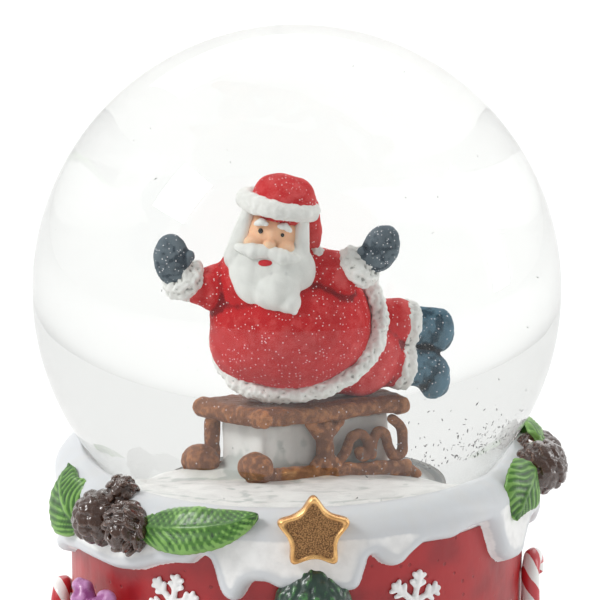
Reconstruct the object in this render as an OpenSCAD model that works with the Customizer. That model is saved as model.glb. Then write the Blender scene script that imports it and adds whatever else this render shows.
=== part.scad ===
// A wind-up musical snow globe: a liquid-filled glass ball with a painted figure on a sled, held in
// the snow-capped collar of a hollow cast base. A spring-driven musical movement stands in the base,
// and its key turns in a recess in the underside.
// Millimetres, +Z up, origin on the table at the middle of the foot. The front faces -Y.
// Azimuths run from the front (-Y) towards +X.

/* [Globe] */
// Outer diameter of the glass ball
globe_d = 100; // [98:0.5:102]
// Wall of the glass ball
glass_t = 2.5; // [2:0.25:3]
// Height of the ball's centre over the table
globe_z = 90; // [90:0.5:92]

/* [Base] */
// Diameter of the painted drum of the base
drum_d = 87; // [86:0.5:88]
// Diameter over the snow cap
cap_d = 90.4; // [90:0.2:92]
// Height of the snow bank round the foot
foot_h = 8; // [6:0.5:9]

/* [Movement] */
// Distance of the winding key from the middle, towards -X
key_offset = 7; // [6:0.5:8]
// Teeth of the crown gear on the spring barrel
crown_teeth = 48; // [48]
// Teeth of the drum's pinion
pinion_teeth = 12; // [12]
// Notes of the comb
notes = 18; // [12:1:22]

/* [Hidden] */
$fn = 96;
e = 0.01;

globe_r = globe_d / 2;
bore_r = globe_r - glass_t;
neck_r = 34.5;
neck_bore = 32;
neck_end = 46;
neck_top = globe_z - sqrt(globe_r * globe_r - neck_r * neck_r);
plug_top = 56;

drum_r = drum_d / 2;
cap_r = cap_d / 2;
felt_t = 1;
shell_top = 52;
deck_z = 41;
recess_r = 37.5;
cover_t = 2.5;
cover_z = 13.5;
ledge_r = 35.5;
ledge_z = cover_z + cover_t;
cavity_r = 39;
drip_low = 43;
drip_top = 50.5;

// Places a child at an azimuth, at a radius and a height, with -Y as its outward side.
module at_az(az, r, z) rotate([0, 0, az]) translate([0, -r, z]) children();

// A tube with an outer and an inner radius.
module tube(ro, ri, z0, z1) translate([0, 0, z0]) difference() {
    cylinder(r = ro, h = z1 - z0);
    translate([0, 0, -1]) cylinder(r = ri, h = z1 - z0 + 2);
}

// A cylinder along X from x0 to x1, centred on y, z.
module xrod(r, x0, x1, y, z) translate([x0, y, z]) rotate([0, 90, 0])
    cylinder(r = r, h = x1 - x0, $fn = 48);

// A cone or cylinder between two points.
module rod(a, b, ra, rb) {
    d = b - a;
    translate(a)
        rotate([0, acos(d[2] / norm(d)), atan2(d[1], d[0])])
            cylinder(r1 = ra, r2 = rb, h = norm(d), $fn = 48);
}

module ball(at, r) translate(at) sphere(r = r, $fn = 64);

// ---------------------------------------------------------------- globe

module glass_globe() color("lightcyan", 0.3) difference() {
    union() {
        ball([0, 0, globe_z], globe_r);
        translate([0, 0, neck_end]) cylinder(r = neck_r, h = neck_top - neck_end + 1);
        translate([0, 0, neck_end]) cylinder(r = neck_r + 0.6, h = 1.8);
    }
    ball([0, 0, globe_z], bore_r);
    translate([0, 0, globe_z - globe_r - 1]) cylinder(r = neck_bore, h = 18);
}

// The stopper: a flanged rubber plug with three sealing ribs.
module rubber_plug() color("dimgray") {
    translate([0, 0, neck_end - 2.4]) cylinder(r = neck_r, h = 2.3);
    translate([0, 0, neck_end - 1]) cylinder(r = neck_bore - 0.7, h = plug_top - neck_end + 1);
    for (k = [0:2]) translate([0, 0, neck_end + 1.2 + 2.6 * k]) cylinder(r = neck_bore - 0.05, h = 1.2);
}

// The liquid stops at a stepped round envelope that clears the mound and the figure.
module liquid_fill() color("aliceblue", 0.2) difference() {
    ball([0, 0, globe_z], bore_r - 0.05);
    translate([0, 0, 30]) cylinder(r = 50, h = plug_top + 0.05 - 30);
    translate([0, 0, 50]) cylinder(r = 29.8, h = 13.6);
    translate([0, 0, 60]) cylinder(r = 25.4, h = 42);
    translate([-2, -1, 100]) cylinder(r = 10.5, h = 10);
}

// Loose snow: thin chips that lie and drift low in the ball, outside the figure's envelope.
flake_count = 72;
module snow_flakes() color("white") for (k = [0:flake_count - 1]) {
    turn = k * 137.5;
    r = 30.6 + 5 * (k % 7) / 7;
    z = 65 + 0.45 * ((k * 5) % 37);
    rotate([0, 0, turn]) translate([r, 0, z]) rotate([(k * 47) % 90, (k * 31) % 90, 0])
        cube([0.9, 0.5, 0.12]);
}

// ---------------------------------------------------------------- figure on the sled

sled_turn = 36;
sled_at = [0.6, 4.2, 0];
sled_len = 26;
seat_top = 74.1;
seat_t = 3.1;
runner_z = 62.6;
mound_top = runner_z - 0.05;

module sled_frame() translate(sled_at) rotate([0, 0, sled_turn]) children();

module mound_solid() {
    rotate_extrude() polygon([
        [0, plug_top + 0.05], [29, plug_top + 0.05], [29.5, plug_top + 1.5], [28, 60],
        [24.5, 61.6], [21, mound_top], [0, mound_top]]);
    sled_frame() translate([-9, -4.6, mound_top - 1]) cube([19, 9.2, seat_top - seat_t - mound_top + 0.95]);
}
module snow_mound() color("white") mound_solid();

module sled_seat() color("saddlebrown") sled_frame() {
    translate([-12.4, -7, seat_top - seat_t]) cube([24.8, 14, seat_t - 0.2]);
    for (s = [-1, 1]) translate([s * 11.6, 8, seat_top - seat_t / 2 - 0.1]) rotate([90, 0, 0])
        cylinder(r = seat_t / 2 - 0.1, h = 16);
}
module sled_posts() color("saddlebrown") sled_frame() for (s = [-1, 1]) {
    translate([-2.2, s * 6 - 1.3, runner_z + 2.05]) cube([3.6, 2.6, seat_top - seat_t - runner_z - 2.1]);
    translate([-10.1, s * 6 - 1.1, runner_z + 2.05]) cube([2, 2.2, seat_top - seat_t - runner_z - 2.1]);
}
module runner() {
    translate([-12.6, -1.2, runner_z]) cube([sled_len - 0.4, 2.4, 2]);
    translate([-12.6, 1.4, runner_z + 2.3]) rotate([90, 0, 0]) cylinder(r = 2.25, h = 2.8, $fn = 48);
}
module near_runner() color("sienna") sled_frame() translate([0, -6, 0]) runner();
module far_runner() color("sienna") sled_frame() translate([0, 6, 0]) runner();

// Two curled brackets behind the middle post on each side.
module curl(x, r) translate([x, 0, runner_z + 3.3]) rotate([90, 0, 0])
    rotate_extrude(angle = 180) translate([r, 0]) circle(r = 0.55, $fn = 24);
module sled_scrolls() color("sienna") sled_frame() for (s = [-1, 1]) translate([0, s * 6, 0]) {
    curl(4.2, 1.6);
    curl(8.4, 1.6);
}

belly = [-1.5, 0, 84.5];
belly_r = 10.3;
chest = [-3.6, -2.6, 90.6];
head_at = [-3.8, -3.6, 99.2];
seat_of_trousers = [8.4, 5, 81.2];
right_wrist = [-14.6, -1.6, 91.2];
left_wrist = [7.4, -3.6, 93.2];

// The figure's overlapping shapes; gap grows one where it is cut out of its neighbour.
gap = 0.05;
module coat_solid(gap = 0) {
    ball(belly, belly_r + gap);
    ball(chest, 8 + gap);
    rod(chest + [-3, 0.5, 1.5], right_wrist, 4.6 + gap, 3.4 + gap);
    rod(chest + [3.5, -0.2, 1.4], left_wrist, 4.6 + gap, 3.4 + gap);
}
module head_solid(gap = 0) ball(head_at, 5.2 + gap);
module beard_solid() {
    ball(head_at + [0.4, -2.2, -5.4], 5.6);
    ball(head_at + [1.4, -4, -8.2], 3.2);
}
module band_solid(gap = 0) translate(head_at + [0.5, 0.4, 3]) rotate([-14, 12, 0])
    rotate_extrude() translate([4.4, 0]) circle(r = 1.35 + gap, $fn = 32);
module hat_solid(gap = 0) ball(head_at + [1.5, 1, 4.1], 4.4 + gap);
module cuffs_solid(gap = 0) {
    rod(right_wrist, right_wrist + [-1.9, -0.2, 1.5], 3.6 + gap, 3.3 + gap);
    rod(left_wrist, left_wrist + [1.5, 0, 1.6], 3.6 + gap, 3.3 + gap);
}
// The fur hem is a thick disc square to the line from the belly to the boots.
module trim_solid(gap = 0) translate(belly + [3, 1.6, -2.4]) rotate([0, 122, 30])
    translate([0, 0, -gap]) cylinder(r = 9.9, h = 2.6 + 2 * gap);
module trousers_solid(gap = 0) ball(seat_of_trousers, 6.9 + gap);

module santa_coat() color("firebrick") coat_solid();
module coat_trim() color("white") difference() {
    trim_solid();
    coat_solid(gap);
    translate([-30, -30, seat_top - 20]) cube([60, 60, 20]);
}
module santa_trousers() color("firebrick") difference() {
    trousers_solid();
    coat_solid(gap);
    trim_solid(gap);
}
// The two legs end in fur cuffs and boots, one over the other.
leg_ends = [[13.2, 8.6, 84.6], [11.6, 7.4, 79]];
leg_way = [0.86, 0.46, -0.22];
module trouser_cuffs() color("white") difference() {
    for (leg = leg_ends) rod(leg, leg + 2.2 * leg_way, 2.7, 2.6);
    trousers_solid(gap);
}
module boots() color("darkslategray") difference() {
    for (leg = leg_ends) {
        rod(leg + 2.25 * leg_way, leg + 5.2 * leg_way, 2.3, 2.5);
        ball(leg + 5.6 * leg_way, 2.6);
    }
    trousers_solid(gap);
}
module sleeve_cuffs() color("white") difference() {
    cuffs_solid();
    coat_solid(gap);
}
module mittens() color("darkslategray") difference() {
    union() {
        ball(right_wrist + [-3.1, -0.6, 3.6], 2.9);
        ball(right_wrist + [-3.3, -0.6, 5.3], 2.2);
        ball(left_wrist + [3.8, 0, 3.4], 3);
        ball(left_wrist + [4.4, 0, 5], 2.4);
    }
    cuffs_solid(gap);
    coat_solid(gap);
}
module santa_head() color("peachpuff") difference() {
    head_solid();
    coat_solid(gap);
}
module santa_beard() color("white") difference() {
    beard_solid();
    head_solid(gap);
    coat_solid(gap);
}
module hat_band() color("white") difference() {
    band_solid();
    head_solid(gap);
}
module santa_hat() color("firebrick") difference() {
    hat_solid();
    head_solid(gap);
    band_solid(gap);
}
module hat_pompom() color("white") difference() {
    ball(head_at + [6.8, 3.2, -0.8], 1.6);
    band_solid(gap);
    hat_solid(gap);
}

// ---------------------------------------------------------------- base casting and its decorations

screw_az = [90, 210, 330];
seat_r = neck_r + 1.1;
seat_z = neck_end - 2.5;
module shell_profile() polygon([
    [recess_r, felt_t], [drum_r, felt_t], [drum_r, shell_top], [seat_r, shell_top],
    [seat_r, seat_z], [20, seat_z], [20, deck_z], [cavity_r, deck_z],
    [cavity_r, ledge_z + 2], [ledge_r, ledge_z + 2], [ledge_r, ledge_z], [recess_r, ledge_z]]);
module base_shell() color("firebrick") difference() {
    union() {
        rotate_extrude() shell_profile();
        for (a = screw_az) at_az(a, 35.4, ledge_z + 0.4) cylinder(r = 4.2, h = 11.6, $fn = 48);
    }
    for (a = screw_az) at_az(a, 34.2, ledge_z - 1) cylinder(r = 1.1, h = 10, $fn = 32);
    // A vent through the deck lets the sound out of the cavity.
    at_az(200, 27, deck_z - 1) cylinder(r = 1.5, h = 5, $fn = 32);
}

// One hanging drip: [azimuth, width, lowest height].
drips = [
    [-77, 6, 43.6], [-62, 10, 46.5], [-46, 16, 44.6], [-27, 10, 48.4], [-16, 7, 43.2], [-3, 9, 47.2],
    [12, 5, 45], [22.5, 7, 48.8], [61, 9, 43], [82, 6, 47], [98, 9, 44.4], [117, 6, 48.6],
    [134, 10, 45], [152, 5, 48], [169, 9, 43.4], [188, 6, 48], [206, 10, 44.8], [226, 5, 48.8],
    [243, 9, 44], [262, 6, 47.6], [272, 5, 46]];
module tongue(w, low) {
    translate([-w / 2, low + w / 2]) square([w, drip_top + 2 - low - w / 2]);
    translate([0, low + w / 2]) circle(r = w / 2, $fn = 32);
}
module drip_prism(d) {
    w = min(d[1], 2 * (drip_top - d[2]));
    rotate([0, 0, d[0]]) translate([0, -38, 0]) rotate([90, 0, 0]) linear_extrude(10) tongue(w, d[2]);
}
module cap_ring() rotate_extrude() polygon([
    [35.75, shell_top + 0.05], [35.75, 54.7], [37.25, 56.3], [39.85, 59.2], [41.2, 59.5],
    [43.5, 58.2], [cap_r - 0.3, 56], [cap_r, 53], [cap_r, drip_top],
    [drum_r + 0.05, drip_top], [drum_r + 0.05, shell_top + 0.05]]);
module snow_cap() color("white") {
    cap_ring();
    intersection() {
        tube(cap_r - 0.08, drum_r + 0.1, drip_low - 0.5, drip_top + 0.7);
        union() for (d = drips) drip_prism(d);
    }
}

// What the decorations rest against: the drum, the snow cap above drip_low, and the glass.
module base_envelope() {
    rotate_extrude() polygon([
        [0, -1], [drum_r + 0.05, -1], [drum_r + 0.05, drip_low - 1], [cap_r + 0.05, drip_low - 1],
        [cap_r + 0.05, 56.1], [43.6, 58.35], [41.3, 59.65], [0, 59.65]]);
    ball([0, 0, globe_z], globe_r + 0.05);
}
module on_base() difference() {
    children();
    base_envelope();
}

foot_r = 48.6;
foot_top = felt_t + foot_h;
module foot_snow() color("white") rotate_extrude() polygon([
    [drum_r + 0.05, felt_t], [foot_r - 0.8, felt_t], [foot_r, felt_t + 2],
    [foot_r - 0.6, foot_top - 1.6], [foot_r - 2.6, foot_top], [drum_r + 0.05, foot_top]]);

module felt_ring() color("darkgreen") tube(foot_r - 1.6, recess_r + 1, 0, felt_t);

tree_az = [3.6, 183.6];
tree_r = 45;
// Each tier of boughs: [lowest height, radius at its foot, radius at its top, height].
tiers = [[9.1, 8, 4.2, 11], [17, 7, 3.5, 11], [26, 6, 2.8, 11], [35, 5, 2, 10], [43, 4, 0.9, 9]];
module fir_trees() color("darkgreen") on_base() for (az = tree_az) at_az(az, tree_r, 0)
    for (t = tiers) translate([0, 0, t[0]]) cylinder(r1 = t[1], r2 = t[2], h = t[3]);
star_r = 6.4;
module tree_star() color("darkgoldenrod")
    at_az(tree_az[0], cap_r + 0.1, 58.3) rotate([90, 0, 0]) linear_extrude(3) polygon(
        [for (k = [0:9]) (k % 2 == 0 ? star_r : star_r * 0.56) * [sin(36 * k), cos(36 * k)]]);

// Baubles at the boughs' tips, two to a tier, on alternating sides.
module tree_ornaments() color("gold") for (az = tree_az) at_az(az, tree_r, 0) for (k = [0:7]) {
    t = tiers[floor(k / 2)];
    turn = -150 + (k % 2) * 76 + 22 * floor(k / 2) % 44;
    rotate([0, 0, turn]) translate([t[1], 0, t[0] + 0.9]) sphere(r = 1.3, $fn = 32);
}

// [azimuth, width, depth out of the drum, lowest and highest point]
gifts = [[-54, 17, 5.5, 9.1, 23], [-52, 13, 5, 23.1, 35.5], [57, 14, 5.5, 9.1, 22], [148, 16, 5, 9.1, 24]];
module gift_box(g, grow) rotate([0, 0, g[0]]) translate([-g[1] / 2, -drum_r - g[2], g[3]])
    cube([g[1], g[2] + 3, g[4] - g[3]]);
module gift_boxes() color("teal") for (g = gifts) difference() {
    gift_box(g);
    base_envelope();
}
module bow(g) for (s = [-1, 1]) at_az(g[0] + s * 3.4, drum_r + 3.6, g[4] + 2.5) sphere(r = 2.35, $fn = 48);
module gift_ribbons() color("mediumorchid") for (g = gifts) difference() {
    union() {
        bow(g);
        rotate([0, 0, g[0]]) translate([-1.4, -drum_r - g[2] - 0.5, g[3]]) cube([2.8, 0.49, g[4] - g[3]]);
    }
    base_envelope();
}

// Hooked canes that stand against the drum.
module cane(az, foot, height) on_base() at_az(az, drum_r + 2, foot) {
    cylinder(r = 1.6, h = height, $fn = 48);
    translate([3.2, 0, height]) rotate([90, 0, 0]) rotate_extrude(angle = 180)
        translate([3.2, 0]) circle(r = 1.6, $fn = 48);
}
module candy_canes() color("crimson") {
    cane(79, foot_top + 0.1, 26);
    cane(-96, foot_top + 0.1, 22);
    cane(196, foot_top + 0.1, 24);
}

// [azimuth, height, radius]
reliefs = [[29, 41.4, 5], [-31, 40.6, 4.6], [-24, 22, 4], [32, 22, 4.4], [102, 34, 5], [124, 24, 4.2],
    [172, 32, 4.8], [222, 34, 4.8], [244, 22, 4.2]];
module snowflake_reliefs() color("white") intersection() {
    tube(drum_r + 0.85, drum_r + 0.05, 10, 46);
    union() for (s = reliefs) at_az(s[0], drum_r - 1, s[1] - (s[1] > 36 ? 3.6 : 0)) rotate([90, 0, 0])
        linear_extrude(3) for (k = [0:2]) rotate(60 * k) square([2 * s[2], 0.9], center = true);
}

// A leaf is a thin lens, cut from a slab by two crossing cylinders.
module leaf(l, w, t) {
    r = (l * l + w * w) / (4 * w);
    rotate([90, 0, 0]) linear_extrude(t, center = true) intersection() {
        translate([0, r - w / 2]) circle(r = r, $fn = 128);
        translate([0, w / 2 - r]) circle(r = r, $fn = 128);
    }
}
module left_leaves() color("forestgreen") {
    on_base() at_az(-22, 45.2, 57) rotate([-34, -14, 0]) leaf(21, 8.6, 1.6);
    on_base() at_az(-66, 45.2, 56.4) rotate([-30, 50, 0]) leaf(16, 8, 1.6);
}
module right_leaves() color("forestgreen") {
    on_base() at_az(63, 46, 57) rotate([-24, 62, 0]) leaf(12, 8.4, 1.6);
    on_base() at_az(98, 45.4, 59) rotate([-30, -30, 0]) leaf(13, 7, 1.6);
}
module left_pinecones() color("saddlebrown") on_base() {
    at_az(-50.5, 45.6, 56) sphere(r = 4);
    at_az(-40, 45.8, 56.1) sphere(r = 3.8);
    at_az(-47, 42.4, 62.3) sphere(r = 2.4);
}
module right_pinecones() color("saddlebrown") on_base() {
    at_az(76, 47, 61.2) sphere(r = 4.1);
    at_az(87, 46.6, 60.6) sphere(r = 3.8);
}

// ---------------------------------------------------------------- closing plate

arbor_at = [-key_offset, 0, 0];
module movement_frame() translate(arbor_at) children();
mount_holes = [[-10.5, -13], [-10.5, 13], [33, 12]];

module bottom_cover() color("black") difference() {
    translate([0, 0, cover_z]) cylinder(r = recess_r - 0.3, h = cover_t - 0.05);
    movement_frame() translate([0, 0, cover_z - 1]) cylinder(r = 4, h = 5, $fn = 48);
    movement_frame() for (p = mount_holes) translate([p[0], p[1], cover_z - 1])
        cylinder(r = 1.6, h = 5, $fn = 32);
    for (a = screw_az) at_az(a, 34.2, cover_z - 1) cylinder(r = 1.6, h = 5, $fn = 32);
}

// A pan-head screw that points up, with a cross slot.
module pan_screw(shank_r, shank_l, head_r, head_h) difference() {
    union() {
        translate([0, 0, -head_h]) cylinder(r = head_r, h = head_h, $fn = 48);
        translate([0, 0, -e]) cylinder(r = shank_r, h = shank_l, $fn = 32);
    }
    for (a = [0, 90]) rotate([0, 0, a]) translate([-head_r * 0.65, -0.3, -head_h - 1])
        cube([head_r * 1.3, 0.6, 1.7]);
}
module cover_screws() color("silver") for (a = screw_az)
    at_az(a, 34.2, cover_z - 0.05) pan_screw(1.05, 9, 2.6, 1.5);
module movement_screws() color("silver") movement_frame() for (p = mount_holes)
    translate([p[0], p[1], cover_z - 0.05]) pan_screw(1.15, 5.2, 2.6, 1.5);

// ---------------------------------------------------------------- musical movement

plate_z = 16.1;
plate_t = 3;
deck = plate_z + plate_t;
arbor_r = 1.75;
barrel_r = 12.6;
barrel_z = deck + 0.4;
barrel_h = 8.4;
crown_base = barrel_z + barrel_h + 0.02;
crown_module = 0.5;
train_module = 0.4;
crown_pitch_z = crown_base + 0.6 + 1;
drum_axis_z = crown_pitch_z + crown_module * pinion_teeth / 2;
drum_x = [15.2, 31.2];
cylinder_r = 6.5;
pin_h = 0.5;
wheel_teeth = 40;
idler_pinion_teeth = 10;
idler_wheel_teeth = 32;
fly_pinion_teeth = 8;
wheel_x = [31.8, 33];
second_x = [34, 35];
post_x = [35.8, 37];
idler_turn = -22.95;
idler_gap = train_module * (wheel_teeth + idler_pinion_teeth) / 2;
idler_at = [idler_gap * cos(idler_turn), drum_axis_z + idler_gap * sin(idler_turn)];
fly_turn = 30;
fly_gap = train_module * (idler_wheel_teeth + fly_pinion_teeth) / 2;
fly_at = idler_at + fly_gap * [cos(fly_turn), sin(fly_turn)];

// A spur gear's outline: slim straight-flanked teeth with backlash, one of them centred on phase.
module gear_2d(teeth, m, phase) {
    pitch = 360 / teeth;
    tip = m * (teeth / 2 + 0.8);
    root = m * (teeth / 2 - 1.2);
    polygon([for (k = [0:teeth - 1]) for (c = [[root, -0.27], [tip, -0.11], [tip, 0.11], [root, 0.27]])
        c[0] * [cos(phase + (k + c[1]) * pitch), sin(phase + (k + c[1]) * pitch)]]);
}
// The same gear, thick from x0 to x1, on an axis along X.
module x_gear(teeth, m, phase, x0, x1, y, z) translate([x0, y, z]) rotate([90, 0, 90])
    linear_extrude(x1 - x0) gear_2d(teeth, m, phase);

module bedplate() color("silver") movement_frame() difference() {
    union() {
        translate([0, 0, plate_z]) linear_extrude(plate_t) polygon([
            [-14, -15], [-9, -19], [12, -23], [30, -22], [37.5, -12],
            [37.5, 17], [33, 20.6], [-6, 20.6], [-14, 15]]);
        translate([10, -22, deck - e]) cube([22, 5.6, drum_axis_z - 0.45 - deck]);
    }
    translate([0, 0, plate_z - 1]) cylinder(r = arbor_r + 0.06, h = 6, $fn = 48);
    for (p = mount_holes) translate([p[0], p[1], plate_z - 1]) cylinder(r = 1.2, h = 6, $fn = 32);
    for (x = [14, 28]) translate([x, -19.4, drum_axis_z - 6]) cylinder(r = 1.05, h = 8, $fn = 32);
}

// The bearing between the pinion and the pinned drum.
module drum_post() color("silver") movement_frame() difference() {
    translate([13.4, -4, deck + 0.01]) cube([1.4, 8, drum_axis_z + 3 - deck]);
    xrod(0.96, 12, 16, 0, drum_axis_z);
}

// A bent strip: the near cheek carries the idler and the fly, the far one all three arbors.
module governor_frame() color("silver") movement_frame() difference() {
    union() {
        translate([post_x[0], -4, deck + 0.01]) cube([post_x[1] - post_x[0], 21, drum_axis_z + 4.6 - deck]);
        translate([19.8, 8.2, deck + 0.01]) cube([1.2, 12.4, drum_axis_z + 4.6 - deck]);
        translate([19.8, 8.2, deck + 0.01]) cube([post_x[1] - 19.8, 8.8, 0.8]);
    }
    xrod(0.96, 35, 38, 0, drum_axis_z);
    xrod(0.66, 19, 38, idler_at[0], idler_at[1]);
    xrod(0.56, 19, 38, fly_at[0], fly_at[1]);
}

module spring_barrel() color("goldenrod") movement_frame() difference() {
    translate([0, 0, barrel_z]) cylinder(r = barrel_r, h = barrel_h);
    translate([0, 0, barrel_z + 0.8]) cylinder(r = barrel_r - 0.9, h = barrel_h);
    translate([0, 0, barrel_z - 1]) cylinder(r = arbor_r + 0.06, h = 4, $fn = 48);
}

crown_in = 11;
crown_out = 12.6;
// One crown tooth: a slim trapezoid bar that lies along the radius.
module crown_tooth() rotate([90, 0, 90]) translate([0, 0, crown_in]) linear_extrude(crown_out - crown_in)
    polygon([[-0.38, -0.1], [0.38, -0.1], [0.17, 1.37], [-0.17, 1.37]]);
module crown_gear() color("goldenrod") movement_frame() {
    difference() {
        translate([0, 0, crown_base]) cylinder(r = crown_out, h = 0.6);
        translate([0, 0, crown_base - 1]) cylinder(r = arbor_r + 0.06, h = 4, $fn = 48);
    }
    for (k = [0:crown_teeth - 1]) rotate([0, 0, (k + 0.5) * 360 / crown_teeth])
        translate([0, 0, crown_base + 0.6]) crown_tooth();
}

// The mainspring: a flat spiral strip inside the barrel.
spring_turns = 6;
spring_end = 360 * spring_turns;
function on_spiral(a, start) = (start + 8.4 * a / spring_end) * [cos(a), sin(a)];
module mainspring() color("slategray") movement_frame()
    translate([0, 0, barrel_z + 1.1]) linear_extrude(barrel_h - 1.6) polygon(concat(
        [for (a = [0:10:spring_end]) on_spiral(a, 2.6)],
        [for (a = [spring_end:-10:0]) on_spiral(a, 3)]));

bridge_z = 33.4;
bridge_t = 2;
module winding_arbor() color("silver") movement_frame() {
    translate([0, 0, 7.5]) cylinder(r = arbor_r, h = bridge_z + bridge_t + 0.6 - 7.5, $fn = 48);
    translate([0, 0, crown_base + 0.62]) cylinder(r = 2.6, h = 0.78, $fn = 48);
}
// A strap over the barrel that steadies the top of the arbor.
module barrel_bridge() color("silver") movement_frame() difference() {
    union() {
        translate([-4, -17.2, bridge_z]) cube([8, 34.4, bridge_t]);
        for (s = [-1, 1]) translate([-4, s * 16.2 - 1, deck + 0.01]) cube([8, 2, bridge_z - deck]);
    }
    translate([0, 0, bridge_z - 1]) cylinder(r = arbor_r + 0.06, h = bridge_t + 2, $fn = 48);
}
// The one-way clutch: a close coil round the arbor, its tail hooked behind the bridge's leg.
module clutch_spring() color("slategray") movement_frame() {
    for (k = [0:4]) translate([0, 0, 30.2 + 0.62 * k]) rotate_extrude()
        translate([arbor_r + 0.42, 0]) circle(r = 0.34, $fn = 24);
    translate([-0.3, -15.1, 30.2 + 0.62 * 4 - 0.3]) cube([0.6, 13.1, 0.6]);
}
// A butterfly key with two eyes, screwed on the arbor's end.
module winding_key() color("goldenrod") movement_frame() difference() {
    union() {
        translate([0, 0, 6.2]) cylinder(r = 3, h = 6.6, $fn = 48);
        intersection() {
            translate([-11.5, -0.9, 2.4]) cube([23, 1.8, 8.4]);
            for (s = [-1, 1]) translate([s * 5.6, 2, 6.4]) rotate([90, 0, 0]) cylinder(r = 5.8, h = 4);
        }
    }
    translate([0, 0, 7.5 - e]) cylinder(r = arbor_r + 0.005, h = 8, $fn = 48);
    for (s = [-1, 1]) translate([s * 7.2, 2, 6.4]) rotate([90, 0, 0]) cylinder(r = 2.2, h = 4, $fn = 48);
}

module music_drum() color("gold") movement_frame() difference() {
    xrod(cylinder_r, drum_x[0], drum_x[1], 0, drum_axis_z);
    xrod(0.9, 10, 40, 0, drum_axis_z);
}
note_pitch = (drum_x[1] - drum_x[0] - 1.6) / (notes - 1);
// Four pins for each note, scattered round the cylinder as a tune would set them.
module drum_pins() color("goldenrod") movement_frame() for (n = [0:notes - 1]) for (k = [0:3])
    translate([drum_x[0] + 0.8 + n * note_pitch, 0, drum_axis_z])
        rotate([8 + 90 * k + (n * 53 + k * k * 17) % 60, 0, 0])
            translate([0, 0, cylinder_r - 0.6]) cylinder(r = 0.2, h = 0.6 + pin_h, $fn = 16);
module drum_arbor() color("silver") movement_frame() {
    xrod(0.9, 10.4, 37.4, 0, drum_axis_z);
    x_gear(pinion_teeth, crown_module, -90, 11.1, 12.5, 0, drum_axis_z);
}
module drum_wheel() color("goldenrod") movement_frame() difference() {
    x_gear(wheel_teeth, train_module, idler_turn + 180 / wheel_teeth,
        wheel_x[0], wheel_x[1], 0, drum_axis_z);
    xrod(0.9, 30, 35, 0, drum_axis_z);
}

comb_gap = 0.25;
tooth_w = note_pitch * 0.72;
module comb() color("lightsteelblue") movement_frame() difference() {
    union() {
        translate([10, -22, drum_axis_z - 0.4]) cube([22, 5.6, 0.8]);
        for (n = [0:notes - 1])
            translate([drum_x[0] + 0.8 + n * note_pitch - tooth_w / 2, -17, drum_axis_z - 0.4])
                cube([tooth_w, 17 - cylinder_r - pin_h - comb_gap, 0.8 - 0.02 * n]);
    }
    for (x = [14, 28]) translate([x, -19.4, drum_axis_z - 2]) cylinder(r = 1.2, h = 4, $fn = 32);
}
module comb_screws() color("steelblue") movement_frame() for (x = [14, 28])
    translate([x, -19.4, drum_axis_z + 0.42]) mirror([0, 0, 1]) pan_screw(1.0, 6, 2.2, 1.2);

module idler_gear() color("goldenrod") movement_frame() {
    xrod(0.6, 19.6, 37.2, idler_at[0], idler_at[1]);
    x_gear(idler_pinion_teeth, train_module, idler_turn + 180,
        wheel_x[0] - 0.2, second_x[0] + e, idler_at[0], idler_at[1]);
    x_gear(idler_wheel_teeth, train_module, fly_turn + 180 / idler_wheel_teeth,
        second_x[0], second_x[1], idler_at[0], idler_at[1]);
}
module fly_arbor() color("silver") movement_frame() {
    xrod(0.5, 19.6, 37.2, fly_at[0], fly_at[1]);
    x_gear(fly_pinion_teeth, train_module, fly_turn + 180,
        second_x[0] - 0.2, second_x[1] + 0.2, fly_at[0], fly_at[1]);
}
module fly_blades() color("gainsboro") movement_frame() difference() {
    union() {
        xrod(1.1, 22.4, 30.6, fly_at[0], fly_at[1]);
        translate([22.6, fly_at[0] - 0.25, fly_at[1] - 3.8]) cube([7.8, 0.5, 7.6]);
    }
    xrod(0.5, 20, 33, fly_at[0], fly_at[1]);
}

// ---------------------------------------------------------------- nodes

glass_globe();
rubber_plug();
liquid_fill();
snow_flakes();
snow_mound();
santa_coat();
coat_trim();
santa_trousers();
trouser_cuffs();
boots();
sleeve_cuffs();
mittens();
santa_head();
santa_beard();
santa_hat();
hat_band();
hat_pompom();
sled_seat();
sled_posts();
near_runner();
far_runner();
sled_scrolls();
base_shell();
snow_cap();
foot_snow();
fir_trees();
tree_star();
tree_ornaments();
gift_boxes();
gift_ribbons();
candy_canes();
snowflake_reliefs();
left_leaves();
right_leaves();
left_pinecones();
right_pinecones();
bottom_cover();
cover_screws();
felt_ring();
bedplate();
drum_post();
governor_frame();
movement_screws();
spring_barrel();
crown_gear();
mainspring();
winding_arbor();
winding_key();
barrel_bridge();
clutch_spring();
music_drum();
drum_pins();
drum_arbor();
drum_wheel();
comb();
comb_screws();
idler_gear();
fly_arbor();
fly_blades();
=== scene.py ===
import itertools
import math
import random

import bmesh
import bpy
import numpy as np
from mathutils import Euler, Matrix, Vector


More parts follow.
